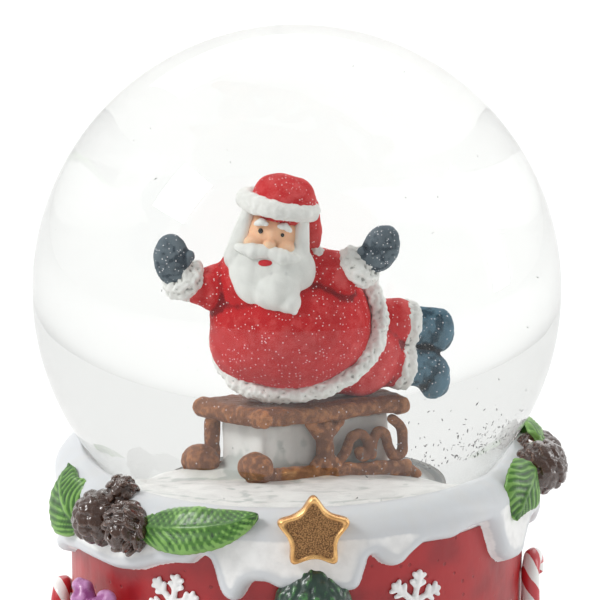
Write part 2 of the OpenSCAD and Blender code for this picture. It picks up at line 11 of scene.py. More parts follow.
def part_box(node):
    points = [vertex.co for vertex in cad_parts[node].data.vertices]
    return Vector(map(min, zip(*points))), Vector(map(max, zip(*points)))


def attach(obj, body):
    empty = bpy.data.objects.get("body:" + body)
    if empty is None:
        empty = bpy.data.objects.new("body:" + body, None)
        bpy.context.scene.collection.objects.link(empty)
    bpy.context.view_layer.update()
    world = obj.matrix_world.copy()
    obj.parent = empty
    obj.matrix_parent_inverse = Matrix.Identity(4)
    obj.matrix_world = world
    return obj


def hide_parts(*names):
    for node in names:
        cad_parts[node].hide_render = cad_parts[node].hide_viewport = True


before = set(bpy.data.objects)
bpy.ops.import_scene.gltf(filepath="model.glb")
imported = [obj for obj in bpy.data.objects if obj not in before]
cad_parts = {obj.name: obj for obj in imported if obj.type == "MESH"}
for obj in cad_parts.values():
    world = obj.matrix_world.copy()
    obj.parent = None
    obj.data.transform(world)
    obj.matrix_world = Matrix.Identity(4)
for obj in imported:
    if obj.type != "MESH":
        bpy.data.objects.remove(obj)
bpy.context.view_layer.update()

# Everything is modelled in millimetres in the part's own frame and scaled to metres when it is kept.
# Azimuths run in degrees from the front (-Y) towards +X.
MM = 0.001
STILL = "globe_and_base"


def node_box(node):
    """Lowest and highest corner of a CAD node, in millimetres."""
    low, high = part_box(node)
    return np.array(low) / MM, np.array(high) / MM


def node_radius(node):
    low, high = node_box(node)
    return (high[0] - low[0]) / 2


glass_low, glass_high = node_box("glass_globe")
BALL_R = node_radius("glass_globe")
BALL = Vector((0, 0, glass_high[2] - BALL_R))
GLASS_WALL = 2.5
DRUM_R = node_radius("base_shell")
FOOT_R = node_radius("foot_snow")
RIM_Z = node_box("snow_cap")[1][2]
SHELF_Z = 9.1  # what stands on the snowy foot starts at this height
TREE_AT = 3.6  # azimuth of the front fir and its star


# ---- shader maths


class Wire:
    """A value in a node tree. Arithmetic on it adds Math nodes to the same tree."""

    def __init__(self, paint, socket):
        self.paint = paint
        self.socket = socket

    def __add__(self, other):
        return self.paint.math("ADD", self, other)

    def __radd__(self, other):
        return self.paint.math("ADD", other, self)

    def __sub__(self, other):
        return self.paint.math("SUBTRACT", self, other)

    def __rsub__(self, other):
        return self.paint.math("SUBTRACT", other, self)

    def __mul__(self, other):
        return self.paint.math("MULTIPLY", self, other)

    def __rmul__(self, other):
        return self.paint.math("MULTIPLY", other, self)

    def fade(self, start, end):
        """0 up to start, 1 from end, smooth between them; start may be the larger."""
        return self.paint.node(
            "MapRange",
            {"Value": self, "From Min": start, "From Max": end},
            interpolation_type="SMOOTHSTEP",
        )


class Paint:
    """A new material, or a new world, and its node tree. node() makes every node in it."""

    def __init__(self, name, library=bpy.data.materials):
        self.owner = library.new(name)
        self.owner.use_nodes = True
        self.tree = self.owner.node_tree
        self.tree.nodes.clear()

    def node(self, kind, inputs=None, out=0, **settings):
        made = self.tree.nodes.new("ShaderNode" + kind)
        for key, value in settings.items():
            setattr(made, key, value)
        for key, value in (inputs or {}).items():
            if isinstance(value, Wire):
                self.tree.links.new(value.socket, made.inputs[key])
            else:
                made.inputs[key].default_value = value
        if made.outputs:
            return Wire(self, made.outputs[out])

    def math(self, operation, a, b):
        return self.node("Math", {0: a, 1: b}, operation=operation)

    def mix(self, share, a, b):
        """Colour a, turning into colour b as share goes from 0 to 1."""
        both = [c if isinstance(c, Wire) else (*c, 1) for c in (a, b)]
        return self.node("Mix", {0: share, 6: both[0], 7: both[1]}, out=2, data_type="RGBA")

    def place(self, stretch=(1, 1, 1)):
        """The point in millimetres, stretched along its axes."""
        here = self.node("TexCoord", out="Object")
        size = [s / MM for s in stretch]
        return self.node("VectorMath", {0: here, 1: size}, operation="MULTIPLY")

    def noise(self, size, detail=2, stretch=(1, 1, 1)):
        """Cloudy noise around 0.5 with features about size millimetres across."""
        return self.node("TexNoise", {"Vector": self.place(stretch), "Scale": 1 / size, "Detail": detail})

    def specks(self, size, share):
        """1 on small round specks, one to a cell of that size, in that share of the cells."""
        cells = {"Vector": self.place(), "Scale": 1 / size}
        near = self.node("TexVoronoi", cells, out="Distance")
        colour = self.node("TexVoronoi", cells, out="Color")
        pick = self.node("SeparateColor", {0: colour})
        return near.fade(0.24, 0.16) * pick.fade(1 - share, 1 - share + 0.02)

    def attribute(self, name):
        return self.node("Attribute", out="Fac", attribute_name=name)

    def finish(self, colour, rough, height=None, depth=0.05, **more):
        """Closes the tree with one Principled surface; height is a bump depth millimetres deep."""
        inputs = {"Base Color": colour if isinstance(colour, Wire) else (*colour, 1), "Roughness": rough}
        inputs.update({key.replace("_", " "): value for key, value in more.items()})
        if height is not None:
            inputs["Normal"] = self.node("Bump", {"Height": height, "Distance": depth * MM, "Strength": 1})
        surface = self.node("BsdfPrincipled", inputs)
        self.node("OutputMaterial", {"Surface": surface})
        return self.owner


# ---- materials


def resin(
    name, body, groove, ridge, rough=0.5, coat=0.0, depth=0.03, glitter=0.0, soft=0.0, ior=1.5
):
    """Hand-painted resin: a dark wash in the grooves that is also painted shade, a dry brush over the
    ridges that is also a painted highlight, uneven paint, a fine grain and, if glitter is over 0, that
    share of sparkling specks."""
    paint = Paint(name)
    relief = paint.attribute("relief")
    uneven = paint.noise(3.5, 4)
    fine = paint.noise(0.3)
    # Painted shade: the groove colour darkens the grooves. Painted highlight: the ridge colour lightens the
    # ridges. Both also stand for the wash and the dry brush.
    wash_and_painted_shade = (relief + (uneven - 0.5) * 0.12).fade(0.46, 0.24)
    brushed = (relief + (fine - 0.5) * 0.2).fade(0.56, 0.78)
    colour = paint.mix(wash_and_painted_shade, body, groove)
    colour = paint.mix(brushed, colour, ridge)
    shade = tuple(0.72 * c for c in body)
    colour = paint.mix(uneven.fade(0.62, 0.3) * 0.45, colour, shade)
    roughness = rough + (fine - 0.5) * 0.25
    if glitter:
        speck = paint.specks(0.5, glitter)
        colour = paint.mix(speck * 0.75, colour, (0.95, 0.93, 0.95))
        roughness = roughness - speck * 0.3
    return paint.finish(
        colour, roughness, fine + uneven * 1.5, depth, IOR=ior,
        Coat_Weight=coat, Coat_Roughness=0.12, Subsurface_Weight=soft, Subsurface_Scale=1.5 * MM,
    )


def lacquer(name, body, deep):
    """Red paint on the drum: brushed on unevenly, deeper in places, under a satin coat."""
    paint = Paint(name)
    cloud = paint.noise(9, 4)
    strokes = paint.noise(1.6, 3, (1, 1, 0.25))
    pits = paint.specks(1.7, 0.2)
    colour = paint.mix(cloud.fade(0.6, 0.3) * 0.6, body, deep)
    colour = paint.mix(pits * 0.35, colour, tuple(0.4 * c for c in deep))
    return paint.finish(
        colour, 0.42 + (strokes - 0.5) * 0.2, strokes * 0.3 + cloud * 3 - pits, 0.1,
        Coat_Weight=0.08, Coat_Roughness=0.25,
    )


def grainy_gold(name):
    """The star: bright gold where face is 0, and brown-gold with fine glitter where it is 1."""
    paint = Paint(name)
    face = paint.attribute("face")
    grit = paint.noise(0.22)
    cloud = paint.noise(2.5, 3)
    bright = paint.mix(cloud.fade(0.35, 0.65), (0.62, 0.33, 0.12), (0.82, 0.5, 0.2))
    grain = paint.mix(grit.fade(0.42, 0.6), (0.13, 0.06, 0.02), (0.42, 0.22, 0.08))
    colour = paint.mix(face, bright, grain)
    return paint.finish(
        colour, 0.3 + face * 0.22 + (grit - 0.5) * 0.2, grit * face + cloud * 0.6, 0.1,
        Metallic=0.75 - face * 0.35,
    )


def striped(name, first, second):
    """Two colours wound round a cane; the mesh stores a wave that is above 0 on the second."""
    paint = Paint(name)
    wave = paint.attribute("stripe") + (paint.noise(1.5) - 0.5) * 0.3
    fine = paint.noise(0.4)
    colour = paint.mix(wave.fade(-0.05, 0.05), first, second)
    return paint.finish(colour, 0.35 + (fine - 0.5) * 0.2, fine, 0.03, Coat_Weight=0.3)


def metal(name, light, dark, rough, stretch=(1, 1, 1), size=0.6):
    """Brushed or turned metal: streaks along the axes that stretch squeezes."""
    paint = Paint(name)
    streaks = paint.noise(size, 3, stretch)
    stain = paint.noise(7, 3)
    colour = paint.mix(streaks.fade(0.35, 0.65), dark, light)
    colour = paint.mix(stain.fade(0.6, 0.4) * 0.3, colour, dark)
    return paint.finish(colour, rough + (streaks - 0.5) * 0.25, streaks, 0.02, Metallic=0.95)


def moulded(name, body, rough, size=0.4, depth=0.03):
    """Moulded plastic or rubber with a fine grain and faint rubbed patches."""
    paint = Paint(name)
    fine = paint.noise(size)
    rubbed = paint.noise(8, 3)
    lighter = tuple(min(1, 1.5 * c + 0.02) for c in body)
    colour = paint.mix(rubbed.fade(0.52, 0.7) * 0.6, body, lighter)
    return paint.finish(colour, rough + (rubbed - 0.5) * 0.2, fine, depth)


def felt(name, light, dark):
    """Pressed wool: short crossed fibres, no gloss."""
    paint = Paint(name)
    along = paint.noise(0.25, 3, (0.2, 1, 1))
    across = paint.noise(0.25, 3, (1, 0.2, 1))
    fibres = (along + across) * 0.5
    colour = paint.mix(fibres.fade(0.4, 0.6), dark, light)
    return paint.finish(colour, 0.95, fibres, 0.15, Sheen_Weight=0.3)


def clear(name, ior, colour):
    """Glass that bends what the camera sees and lets light straight through to what is inside."""
    paint = Paint(name)
    film = paint.noise(30)
    glass = paint.node("BsdfGlass", {"Color": (*colour, 1), "Roughness": 0.0, "IOR": ior})
    open_air = paint.node("BsdfTransparent", {"Color": (*colour, 1)})
    shadow = paint.node("LightPath", out="Is Shadow Ray")
    diffuse = paint.node("LightPath", out="Is Diffuse Ray")
    through = paint.math("MAXIMUM", shadow, diffuse)
    dust = paint.node("BsdfDiffuse", {"Color": (0.9, 0.9, 0.9, 1)})
    mixed = paint.node("MixShader", {0: through, 1: glass, 2: open_air})
    mixed = paint.node("MixShader", {0: film.fade(0.55, 0.9) * 0.015, 1: mixed, 2: dust})
    paint.node("OutputMaterial", {"Surface": mixed})
    return paint.owner


# What sits in the liquid shines less than it would in air, so its index is counted against water.
WET = 1.14
WATER = 1.333
GLASS = 1.5
looks = {
    "glass": clear("clear_glass", GLASS, (0.958, 0.962, 0.957)),
    "glass_to_water": clear("glass_to_water", GLASS / WATER, (0.972, 0.974, 0.97)),
    "snow": resin(
        "snow_paint", (0.84, 0.84, 0.83), (0.6, 0.62, 0.64), (0.9, 0.9, 0.9), 0.45, 0.1, depth=0.02
    ),
    "mound": resin("mound_paint", (0.86, 0.86, 0.84), (0.6, 0.63, 0.61), (0.88, 0.88, 0.86), ior=WET),
    "fur": resin("fur_white", (0.84, 0.84, 0.81), (0.32, 0.32, 0.3), (0.92, 0.92, 0.9), 0.6, ior=WET),
    "beard": resin("beard_white", (0.83, 0.84, 0.81), (0.5, 0.52, 0.51), (0.9, 0.9, 0.88), 0.55, ior=WET),
    "coat": resin(
        "red_glitter", (0.56, 0.016, 0.02), (0.2, 0.006, 0.01), (0.7, 0.09, 0.09), glitter=0.5, ior=WET
    ),
    "mitten": resin(
        "grey_glitter", (0.05, 0.07, 0.09), (0.015, 0.02, 0.03), (0.15, 0.19, 0.22), glitter=0.7, ior=WET
    ),
    "boot": resin(
        "navy_paint", (0.022, 0.06, 0.09), (0.008, 0.016, 0.025), (0.1, 0.2, 0.27), glitter=0.5, ior=WET
    ),
    "skin": resin(
        "skin_paint", (0.92, 0.55, 0.35), (0.6, 0.28, 0.15), (0.95, 0.65, 0.45), soft=0.15, ior=WET
    ),
    "mouth": resin("mouth_red", (0.65, 0.03, 0.04), (0.3, 0.01, 0.01), (0.75, 0.1, 0.1), ior=WET),
    "eye": resin("eye_black", (0.01, 0.01, 0.01), (0.005, 0.005, 0.005), (0.03, 0.03, 0.03), 0.25),
    "sled": resin(
        "brown_paint", (0.22, 0.1, 0.06), (0.06, 0.028, 0.018), (0.5, 0.22, 0.1), glitter=0.14, ior=WET
    ),
    "leaf": resin("leaf_green", (0.055, 0.17, 0.022), (0.012, 0.05, 0.01), (0.2, 0.4, 0.085), 0.42, 0.15),
    "cone": resin(
        "cone_brown", (0.055, 0.024, 0.014), (0.014, 0.007, 0.005), (0.16, 0.08, 0.05), 0.25, 0.8
    ),
    "tree": resin("tree_green", (0.02, 0.05, 0.035), (0.006, 0.012, 0.016), (0.08, 0.25, 0.07), 0.35, 0.4),
    "gold": grainy_gold("gold_paint"),
    "bauble": resin("bauble_gold", (0.6, 0.33, 0.08), (0.25, 0.12, 0.03), (0.85, 0.6, 0.25), 0.3, 0.4),
    "teal": resin("teal_paint", (0.03, 0.17, 0.2), (0.01, 0.05, 0.07), (0.15, 0.4, 0.42), 0.4, 0.2),
    "purple": resin("purple_paint", (0.3, 0.06, 0.24), (0.1, 0.02, 0.12), (0.55, 0.25, 0.5), 0.35, 0.3),
    "cane": striped("cane_paint", (0.8, 0.8, 0.78), (0.5, 0.02, 0.03)),
    "drum": lacquer("red_paint", (0.38, 0.009, 0.012), (0.19, 0.004, 0.008)),
    "flake": moulded("white_flakes", (0.75, 0.75, 0.75), 0.3),
    "dark_flake": moulded("grey_flakes", (0.2, 0.2, 0.2), 0.3),
    "rubber": moulded("black_rubber", (0.03, 0.03, 0.03), 0.7),
    "plastic": moulded("black_plastic", (0.025, 0.025, 0.027), 0.5),
    "felt": felt("green_felt", (0.03, 0.12, 0.05), (0.01, 0.045, 0.02)),
    "steel": metal("steel", (0.62, 0.63, 0.65), (0.35, 0.36, 0.38), 0.3, (1, 1, 0.2)),
    "zinc": metal("zinc_casting", (0.6, 0.61, 0.63), (0.42, 0.43, 0.45), 0.5, size=1.5),
    "brass": metal("brass", (0.85, 0.62, 0.25), (0.5, 0.33, 0.12), 0.25, (0.3, 1, 1)),
    "aluminium": metal("aluminium", (0.8, 0.81, 0.82), (0.6, 0.61, 0.63), 0.3, (1, 0.2, 1)),
}


# ---- mesh helpers


def lattice(cell, seed):
    """A repeatable number from 0 to 1 for each whole-numbered cell."""
    mixed = cell[:, 0] * 12.9898 + cell[:, 1] * 78.233 + cell[:, 2] * 37.719 + seed * 11.13
    return np.modf(np.abs(np.sin(mixed)) * 43758.5453)[0]


def soft_noise(points, size, seed):
    """Smooth noise from -1 to 1 with bumps about size apart."""
    scaled = points / size
    cell = np.floor(scaled)
    t = scaled - cell
    t = t * t * (3 - 2 * t)
    total = np.zeros(len(points))
    for corner in itertools.product((0, 1), repeat=3):
        weight = np.prod(np.where(corner, t, 1 - t), axis=1)
        total += weight * lattice(cell + corner, seed)
    return total * 2 - 1


def read_points(mesh):
    flat = np.empty(len(mesh.vertices) * 3)
    mesh.vertices.foreach_get("co", flat)
    return flat.reshape(-1, 3)


def write_points(mesh, points):
    mesh.vertices.foreach_set("co", points.ravel())
    mesh.update()


def read_normals(mesh):
    flat = np.empty(len(mesh.vertices) * 3)
    mesh.vertex_normals.foreach_get("vector", flat)
    return flat.reshape(-1, 3)


def store(mesh, name, values):
    """Keeps one number for each vertex, for the materials to read."""
    layer = mesh.attributes.new(name, "FLOAT", "POINT")
    layer.data.foreach_set("value", np.asarray(values, np.float32))


def averaged(mesh, values, rounds):
    """values, each averaged with its neighbours' that many times."""
    edges = np.empty(len(mesh.edges) * 2, int)
    mesh.edges.foreach_get("vertices", edges)
    a, b = edges.reshape(-1, 2).T
    count = np.bincount(edges, minlength=len(values)).astype(float)
    count = np.maximum(count, 1)
    if values.ndim == 2:
        return np.stack([averaged(mesh, column, rounds) for column in values.T], axis=1)
    for _ in range(rounds):
        total = np.bincount(a, values[b], len(values)) + np.bincount(b, values[a], len(values))
        values = (values + total / count) / 2
    return values


def mark_relief(mesh, depth, rounds=24):
    """Stores relief: 0.5 on even ground, up to 1 on ridges and down to 0 in grooves that deep."""
    points = read_points(mesh)
    height = ((points - averaged(mesh, points, rounds)) * read_normals(mesh)).sum(axis=1)
    store(mesh, "relief", np.clip(0.5 + height / (2 * depth), 0, 1))


def keep(mesh, name, look, replaces=(), body=STILL):
    """Turns a finished mesh in millimetres into a piece of the object."""
    mesh.transform(Matrix.Scale(MM, 4))
    mesh.name = name
    piece = bpy.data.objects.new(name, mesh)
    bpy.context.scene.collection.objects.link(piece)
    for each in [look] if isinstance(look, str) else look:
        mesh.materials.append(looks[each])
    mesh.polygons.foreach_set("use_smooth", [True] * len(mesh.polygons))
    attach(piece, body)
    if replaces:
        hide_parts(*replaces)


def mesh_from(bm, normals=True):
    """The mesh of a bmesh, with its faces turned outwards unless they are already."""
    if normals:
        bmesh.ops.recalc_face_normals(bm, faces=bm.faces)
    mesh = bpy.data.meshes.new("made")
    bm.to_mesh(mesh)
    bm.free()
    return mesh


def modified(mesh, *steps):
    """The mesh after modifiers, each a (type, settings) pair."""
    holder = bpy.data.objects.new("holder", mesh)
    bpy.context.scene.collection.objects.link(holder)
    for kind, settings in steps:
        step = holder.modifiers.new(kind, kind)
        for key, value in settings.items():
            setattr(step, key, value)
    bpy.context.view_layer.update()
    seen = holder.evaluated_get(bpy.context.evaluated_depsgraph_get())
    result = bpy.data.meshes.new_from_object(seen)
    bpy.data.objects.remove(holder)
    return result


def turned_by(degrees):
    """The rotation for an angle about each axis in turn."""
    return Euler([math.radians(a) for a in degrees]).to_matrix()


def template(create, **settings):
    """Corners and triangles of a shape that one of bmesh's operators makes."""
    bm = bmesh.new()
    create(bm, **settings)
    bmesh.ops.triangulate(bm, faces=bm.faces)
    bm.verts.index_update()
    corners = np.array([v.co for v in bm.verts])
    faces = np.array([[v.index for v in face.verts] for face in bm.faces])
    bm.free()
    return corners, faces


BALLS = [template(bmesh.ops.create_icosphere, subdivisions=level, radius=1) for level in (2, 3, 4)]
BLOCK = template(bmesh.ops.create_cube, size=1)
TUBE = template(
    bmesh.ops.create_cone, cap_ends=True, cap_tris=True, segments=20, radius1=1, radius2=1, depth=1
)


class Clay:
    """Balls, limbs, strings of limbs and slabs that a fine voxel skin joins into one form."""

    def __init__(self):
        self.points = []
        self.faces = []
        self.count = 0

    def add(self, shape, stretch, turned, at):
        """Adds a template, stretched, then turned, then moved."""
        corners, faces = shape
        self.points.append((corners * stretch) @ np.array(turned).T + np.array(at))
        self.faces.append(faces + self.count)
        self.count += len(corners)

    def ball(self, at, size, turn=(0, 0, 0), facing=None):
        """A ball of one radius or of three; a bigger one has more faces."""
        half = np.array((size,) * 3 if isinstance(size, (int, float)) else size, float)
        shape = BALLS[int(half.max() > 0.8) + int(half.max() > 3)]
        self.add(shape, half, facing or turned_by(turn), at)

    def limb(self, a, b, ra, rb):
        """A rounded limb from a to b that tapers from radius ra to rb."""
        self.ball(a, ra)
        self.ball(b, rb)
        way = b - a
        radius = (ra + rb) / 2 + TUBE[0][:, 2:] * (rb - ra)
        stretch = np.hstack([radius, radius, np.full_like(radius, way.length)])
        self.add(TUBE, stretch, way.to_track_quat("Z", "Y").to_matrix(), (a + b) / 2)

    def string(self, points, radii):
        for k in range(len(points) - 1):
            self.limb(points[k], points[k + 1], radii[k], radii[k + 1])

    def slab(self, at, size, turn=0):
        """A block, turned about the vertical."""
        self.add(BLOCK, size, turned_by((0, 0, turn)), at)

    def skin(self, voxel, smooth):
        mesh = bpy.data.meshes.new("clay")
        mesh.from_pydata(np.concatenate(self.points), [], np.concatenate(self.faces))
        return modified(
            mesh,
            ("REMESH", {"mode": "VOXEL", "voxel_size": voxel}),
            ("SMOOTH", {"factor": 0.5, "iterations": smooth}),
        )

    def modelled(self, voxel, smooth, *layers, seed, relief=0.2, rounds=24):
        """The skin, roughened by layers of noise and with its relief marked for the paint."""
        mesh = self.skin(voxel, smooth)
        roughen(mesh, *layers, seed=seed)
        mark_relief(mesh, relief, rounds)
        return mesh


def swell_by(mesh, push):
    """Moves each vertex along its normal."""
    write_points(mesh, read_points(mesh) + read_normals(mesh) * push[:, None])


def roughen(mesh, *layers, seed, share=1):
    """Swells by a share of layers of noise, each (size, depth)."""
    points = read_points(mesh)
    push = sum(depth * soft_noise(points, size, seed + k) for k, (size, depth) in enumerate(layers))
    swell_by(mesh, push * share)


def around(azimuth, r, z):
    """The point at an azimuth, a distance from the axis and a height."""
    a = math.radians(azimuth)
    return Vector((r * math.sin(a), -r * math.cos(a), z))


def curve_through(points, steps, closed=False):
    """A Catmull-Rom curve through points, with that many steps to a span."""
    p = np.array(points, float)
    n = len(p)
    result = []
    for k in range(n if closed else n - 1):
        near = [(k + j) % n if closed else min(max(k + j, 0), n - 1) for j in (-1, 0, 1, 2)]
        p0, p1, p2, p3 = p[near]
        for t in np.arange(steps) / steps:
            bend = (2 * p0 - 5 * p1 + 4 * p2 - p3) * t**2 + (3 * p1 - p0 - 3 * p2 + p3) * t**3
            result.append(p1 + ((p2 - p0) * t + bend) / 2)
    if not closed:
        result.append(p[-1])
    return np.array(result)


def loft(bm, rings, closed=False):
    """Skins rings of equal numbers of points; the last joins the first, or both ends are capped."""
    rows = [[bm.verts.new(p) for p in ring] for ring in rings]
    count = len(rows[0])
    for low, high in zip(rows, rows[1:] + rows[:1] if closed else rows[1:]):
        for j in range(count):
            k = (j + 1) % count
            bm.faces.new((low[j], low[k], high[k], high[j]))
    if not closed:
        bm.faces.new(rows[0])
        bm.faces.new(rows[-1])


def lofted(rings, closed=False):
    """A new mesh that loft() makes."""
    bm = bmesh.new()
    loft(bm, rings, closed)
    return mesh_from(bm)


# ---- glass, liquid and flakes


def glass_ball():
    """The ball and its neck as one closed wall; its inner faces meet the liquid."""
    inner_r = BALL_R - GLASS_WALL
    neck_outer, neck_inner = 34.4, 32.1
    low = glass_low[2]

    def arc(r, neck, steps):
        first = math.acos(-math.sqrt(r * r - neck * neck) / r)
        angles = np.linspace(first, 0, steps)
        return [(r * math.sin(a), BALL[2] + r * math.cos(a)) for a in angles]

    outside = [(neck_outer, low), *arc(BALL_R, neck_outer, 120)]
    inside = [*reversed(arc(inner_r, neck_inner, 120)), (neck_inner, low)]
    bm = bmesh.new()
    points = [(max(r, 0), 0, z) for r, z in outside + inside]
    profile = [bm.verts.new(p) for p in points]
    edges = [bm.edges.new((a, b)) for a, b in zip(profile, profile[1:] + profile[:1])]
    bmesh.ops.spin(
        bm, geom=edges, cent=(0, 0, 0), axis=(0, 0, 1), angle=2 * math.pi, steps=200, use_merge=True
    )
    bmesh.ops.remove_doubles(bm, verts=bm.verts, dist=0.001)
    bmesh.ops.dissolve_degenerate(bm, edges=bm.edges, dist=0.0005)
    bmesh.ops.recalc_face_normals(bm, faces=bm.faces)
    for face in bm.faces:
        middle = face.calc_center_median()
        outward = face.normal.dot(middle - BALL) > 0
        face.material_index = 0 if outward or middle.z < low + 0.01 else 1
    mesh = mesh_from(bm, normals=False)
    both = ("glass", "glass_to_water")
    keep(mesh, "globe_ball", both, ("glass_globe", "liquid_fill"))


SLED_TURN = 36
SLED = Matrix.Translation((0.6, 4.2, 0)) @ Matrix.Rotation(math.radians(SLED_TURN), 4, "Z")


def on_sled(x, y, z):
    return SLED @ Vector((x, y, z))


def snow_mound():
    """The snow bed under the sled, filled up to the seat between the runners."""
    clay = Clay()
    clay.ball((0, 0, 57.4), (33.9, 33.9, 4.6))
    clay.ball((-1, 2, 58.4), (31, 29, 5.2))
    clay.ball((-10, 3, 61), (11, 9, 3.6))
    clay.slab(on_sled(0.5, 0.2, 66.2), (21, 9.6, 10.4), SLED_TURN)
    mesh = clay.skin(0.5, 8)
    roughen(mesh, (7, 0.35), (2, 0.12), (0.8, 0.04), seed=3)
    points = read_points(mesh)
    points[:, 2] = np.maximum(points[:, 2], 56.1)
    write_points(mesh, points)
    mark_relief(mesh, 0.12)
    keep(mesh, "snow_bed", "mound", ("snow_mound",))


def snow_flakes():
    """Fine flakes that lie on the bed, hang in the liquid and drift low against the glass at one side."""
    rng = random.Random(11)
    bm = bmesh.new()

    def flake(at, size, look):
        turned = Euler([rng.uniform(0, 6.3) for _ in range(3)]).to_matrix().to_4x4()
        place = Matrix.Translation(at) @ turned @ Matrix.Diagonal((size, size * 0.4, size * 0.16, 1))
        made = bmesh.ops.create_icosphere(bm, subdivisions=1, radius=1, matrix=place)
        for face in {f for v in made["verts"] for f in v.link_faces}:
            face.material_index = look

    bed_r, bed_z, low_z = 27, 62.6, 66
    for _ in range(230):
        r = bed_r * math.sqrt(rng.random())
        at = around(rng.uniform(-180, 180), r, bed_z - (r / bed_r) ** 3 * 2.6)
        flake(at, rng.uniform(0.18, 0.4), rng.random() < 0.3)
    for _ in range(190):
        spread = rng.gauss(0, 1)
        height = low_z + abs(rng.gauss(0, 4.5))
        r = math.sqrt((BALL_R - GLASS_WALL - 0.7) ** 2 - (BALL[2] - height) ** 2)
        flake(around(48 + spread * 14, r - abs(rng.gauss(0, 1)), height), rng.uniform(0.25, 0.5), 1)
    for _ in range(40):
        way = Vector([rng.gauss(0, 1) for _ in range(3)]).normalized()
        at = BALL + way * rng.uniform(24, 45)
        if at.z > low_z:
            flake(at, rng.uniform(0.12, 0.25), 1)
    keep(mesh_from(bm), "loose_flakes", ("flake", "dark_flake"), ("snow_flakes",))


# ---- the figure


def up(x, y, z):
    """A point of the figure, its height counted from the middle of the ball."""
    return Vector((x, y, BALL[2] + z))


# The fur edge of the coat: a loop down its right side, under the belly and back up behind.
HEM = [
    (10.4, 2.6, -0.6), (11.6, 1.8, -4.4), (10.9, -0.4, -8.3), (7.8, -2.4, -11.8), (3.4, -4, -13.7),
    (-1, -4.4, -14.4), (-5.4, -3.8, -14.2), (-8.8, -1.6, -12.6), (-10.8, 1.2, -9.8), (-10.6, 5, -6),
    (-8, 8.4, -2.6), (-2, 9.8, -0.4), (4, 8.6, 1), (8.4, 5.8, 1.4),
]
# Middle, direction and radius of each sleeve's fur cuff.
CUFFS = (
    (Vector((-16.2, -2, 1.9)), Vector((-0.5, -0.25, 0.83)), 3.2),
    (Vector((9, -3.4, 4.2)), Vector((0.72, -0.15, 0.68)), 3.2),
)


def coat():
    clay = Clay()
    clay.ball(up(-1.2, -0.6, -4.6), (11.2, 10.2, 9.8), (0, 10, 0))
    clay.ball(up(0.6, 1.4, -5.2), (10.2, 8.6, 9.6), (0, 20, 0))
    clay.ball(up(-3.4, -2, 1), (8.4, 7, 7.6))
    clay.ball(up(-3.6, 0.4, -7.2), (8.8, 7.6, 7.4))
    clay.string([up(-6.6, -1.6, 1.2), up(-11.6, -1.6, 0.6), up(-15.8, -1.9, 1)], [4, 3.4, 2.2])
    clay.string([up(1.4, -2.4, 2.4), up(5.4, -2.6, 2.4), up(8.4, -3.2, 3.6)], [4.6, 3.8, 2.3])
    mesh = clay.modelled(0.32, 10, (5, 0.3), (1.2, 0.05), (0.5, 0.03), seed=5)
    keep(mesh, "coat", "coat", ("santa_coat",))


def fur_string(clay, points, radius, closed=False):
    """A roll of fur along a curve."""
    curve = curve_through(points, 6, closed)
    track = [Vector(p) for p in curve]
    if closed:
        track.append(track[0])
    clay.string(track, [radius] * len(track))


def fur_skin(clay, seed, voxel=0.2, depth=0.24):
    """The rolls, stippled all over like brushed fur."""
    return clay.modelled(voxel, 4, (2, 0.12), (0.65, depth), (0.4, depth * 0.6), seed=seed, rounds=12)


def ring(centre, axis, radius, steps=16):
    """Points of a circle round an axis."""
    axis = Vector(axis).normalized()
    side = axis.orthogonal().normalized()
    other = axis.cross(side)
    return [
        centre + radius * (math.cos(a) * side + math.sin(a) * other)
        for a in np.linspace(0, 2 * math.pi, steps, endpoint=False)
    ]


# The end of each trouser leg and the way that both point.
LEGS = (Vector((13, 7.6, -6.6)), Vector((12.4, 6.2, -12)))
LEG_R = 3
LEG_WAY = Vector((0.88, 0.42, -0.2)).normalized()


def trims():
    clay = Clay()
    fur_string(clay, [up(*p) for p in HEM], 1.3, closed=True)
    keep(fur_skin(clay, 21), "coat_hem", "fur", ("coat_trim",))

    clay = Clay()
    for centre, axis, radius in CUFFS:
        middle = up(*centre)
        for shift in (-0.5, 0.5):
            fur_string(clay, ring(middle + axis * shift, axis, radius - 0.9), 1.05, closed=True)
        clay.limb(middle - axis, middle + axis, radius - 0.9, radius - 0.8)
    keep(fur_skin(clay, 22), "arm_cuffs", "fur", ("sleeve_cuffs",))

    clay = Clay()
    for end in LEGS:
        middle = up(*end) + LEG_WAY * 1.9
        for shift in (-0.4, 0.5):
            fur_string(clay, ring(middle + LEG_WAY * shift, LEG_WAY, LEG_R - 0.6), 0.95, closed=True)
        clay.limb(middle - LEG_WAY * 0.8, middle + LEG_WAY * 0.8, LEG_R - 0.8, LEG_R - 0.8)
    keep(fur_skin(clay, 23), "leg_cuffs", "fur", ("trouser_cuffs",))


def trousers():
    clay = Clay()
    clay.limb(up(2, 3.4, -7.6), up(8.6, 4.6, -10.4), 7.4, 5.8)
    for end in LEGS:
        clay.limb(up(6.6, 4.2, end.z * 0.6 - 3.6), up(*end) + LEG_WAY * 0.8, 5, LEG_R + 0.3)
    mesh = clay.modelled(0.32, 10, (4, 0.3), (1, 0.05), seed=31)
    keep(mesh, "trousers", "coat", ("santa_trousers",))


def boots():
    clay = Clay()
    for end, toe in zip(LEGS, (-0.4, -1)):
        heel = up(*end) + LEG_WAY * 3.4
        clay.limb(heel, heel + LEG_WAY * 2.2, 2.6, 2.7)
        clay.ball(heel + LEG_WAY * 2.9 + Vector((0.3, 0, toe)), (1.9, 3, 3), (0, 14, 26))
        clay.ball(heel + LEG_WAY * 3 + Vector((0.5, 1.5, toe - 0.8)), (1.6, 2.4, 2.4), (0, 14, 26))
    mesh = clay.modelled(0.26, 6, (2.5, 0.15), (0.6, 0.08), seed=41, relief=0.15)
    keep(mesh, "boot_pair", "boot", ("boots",))


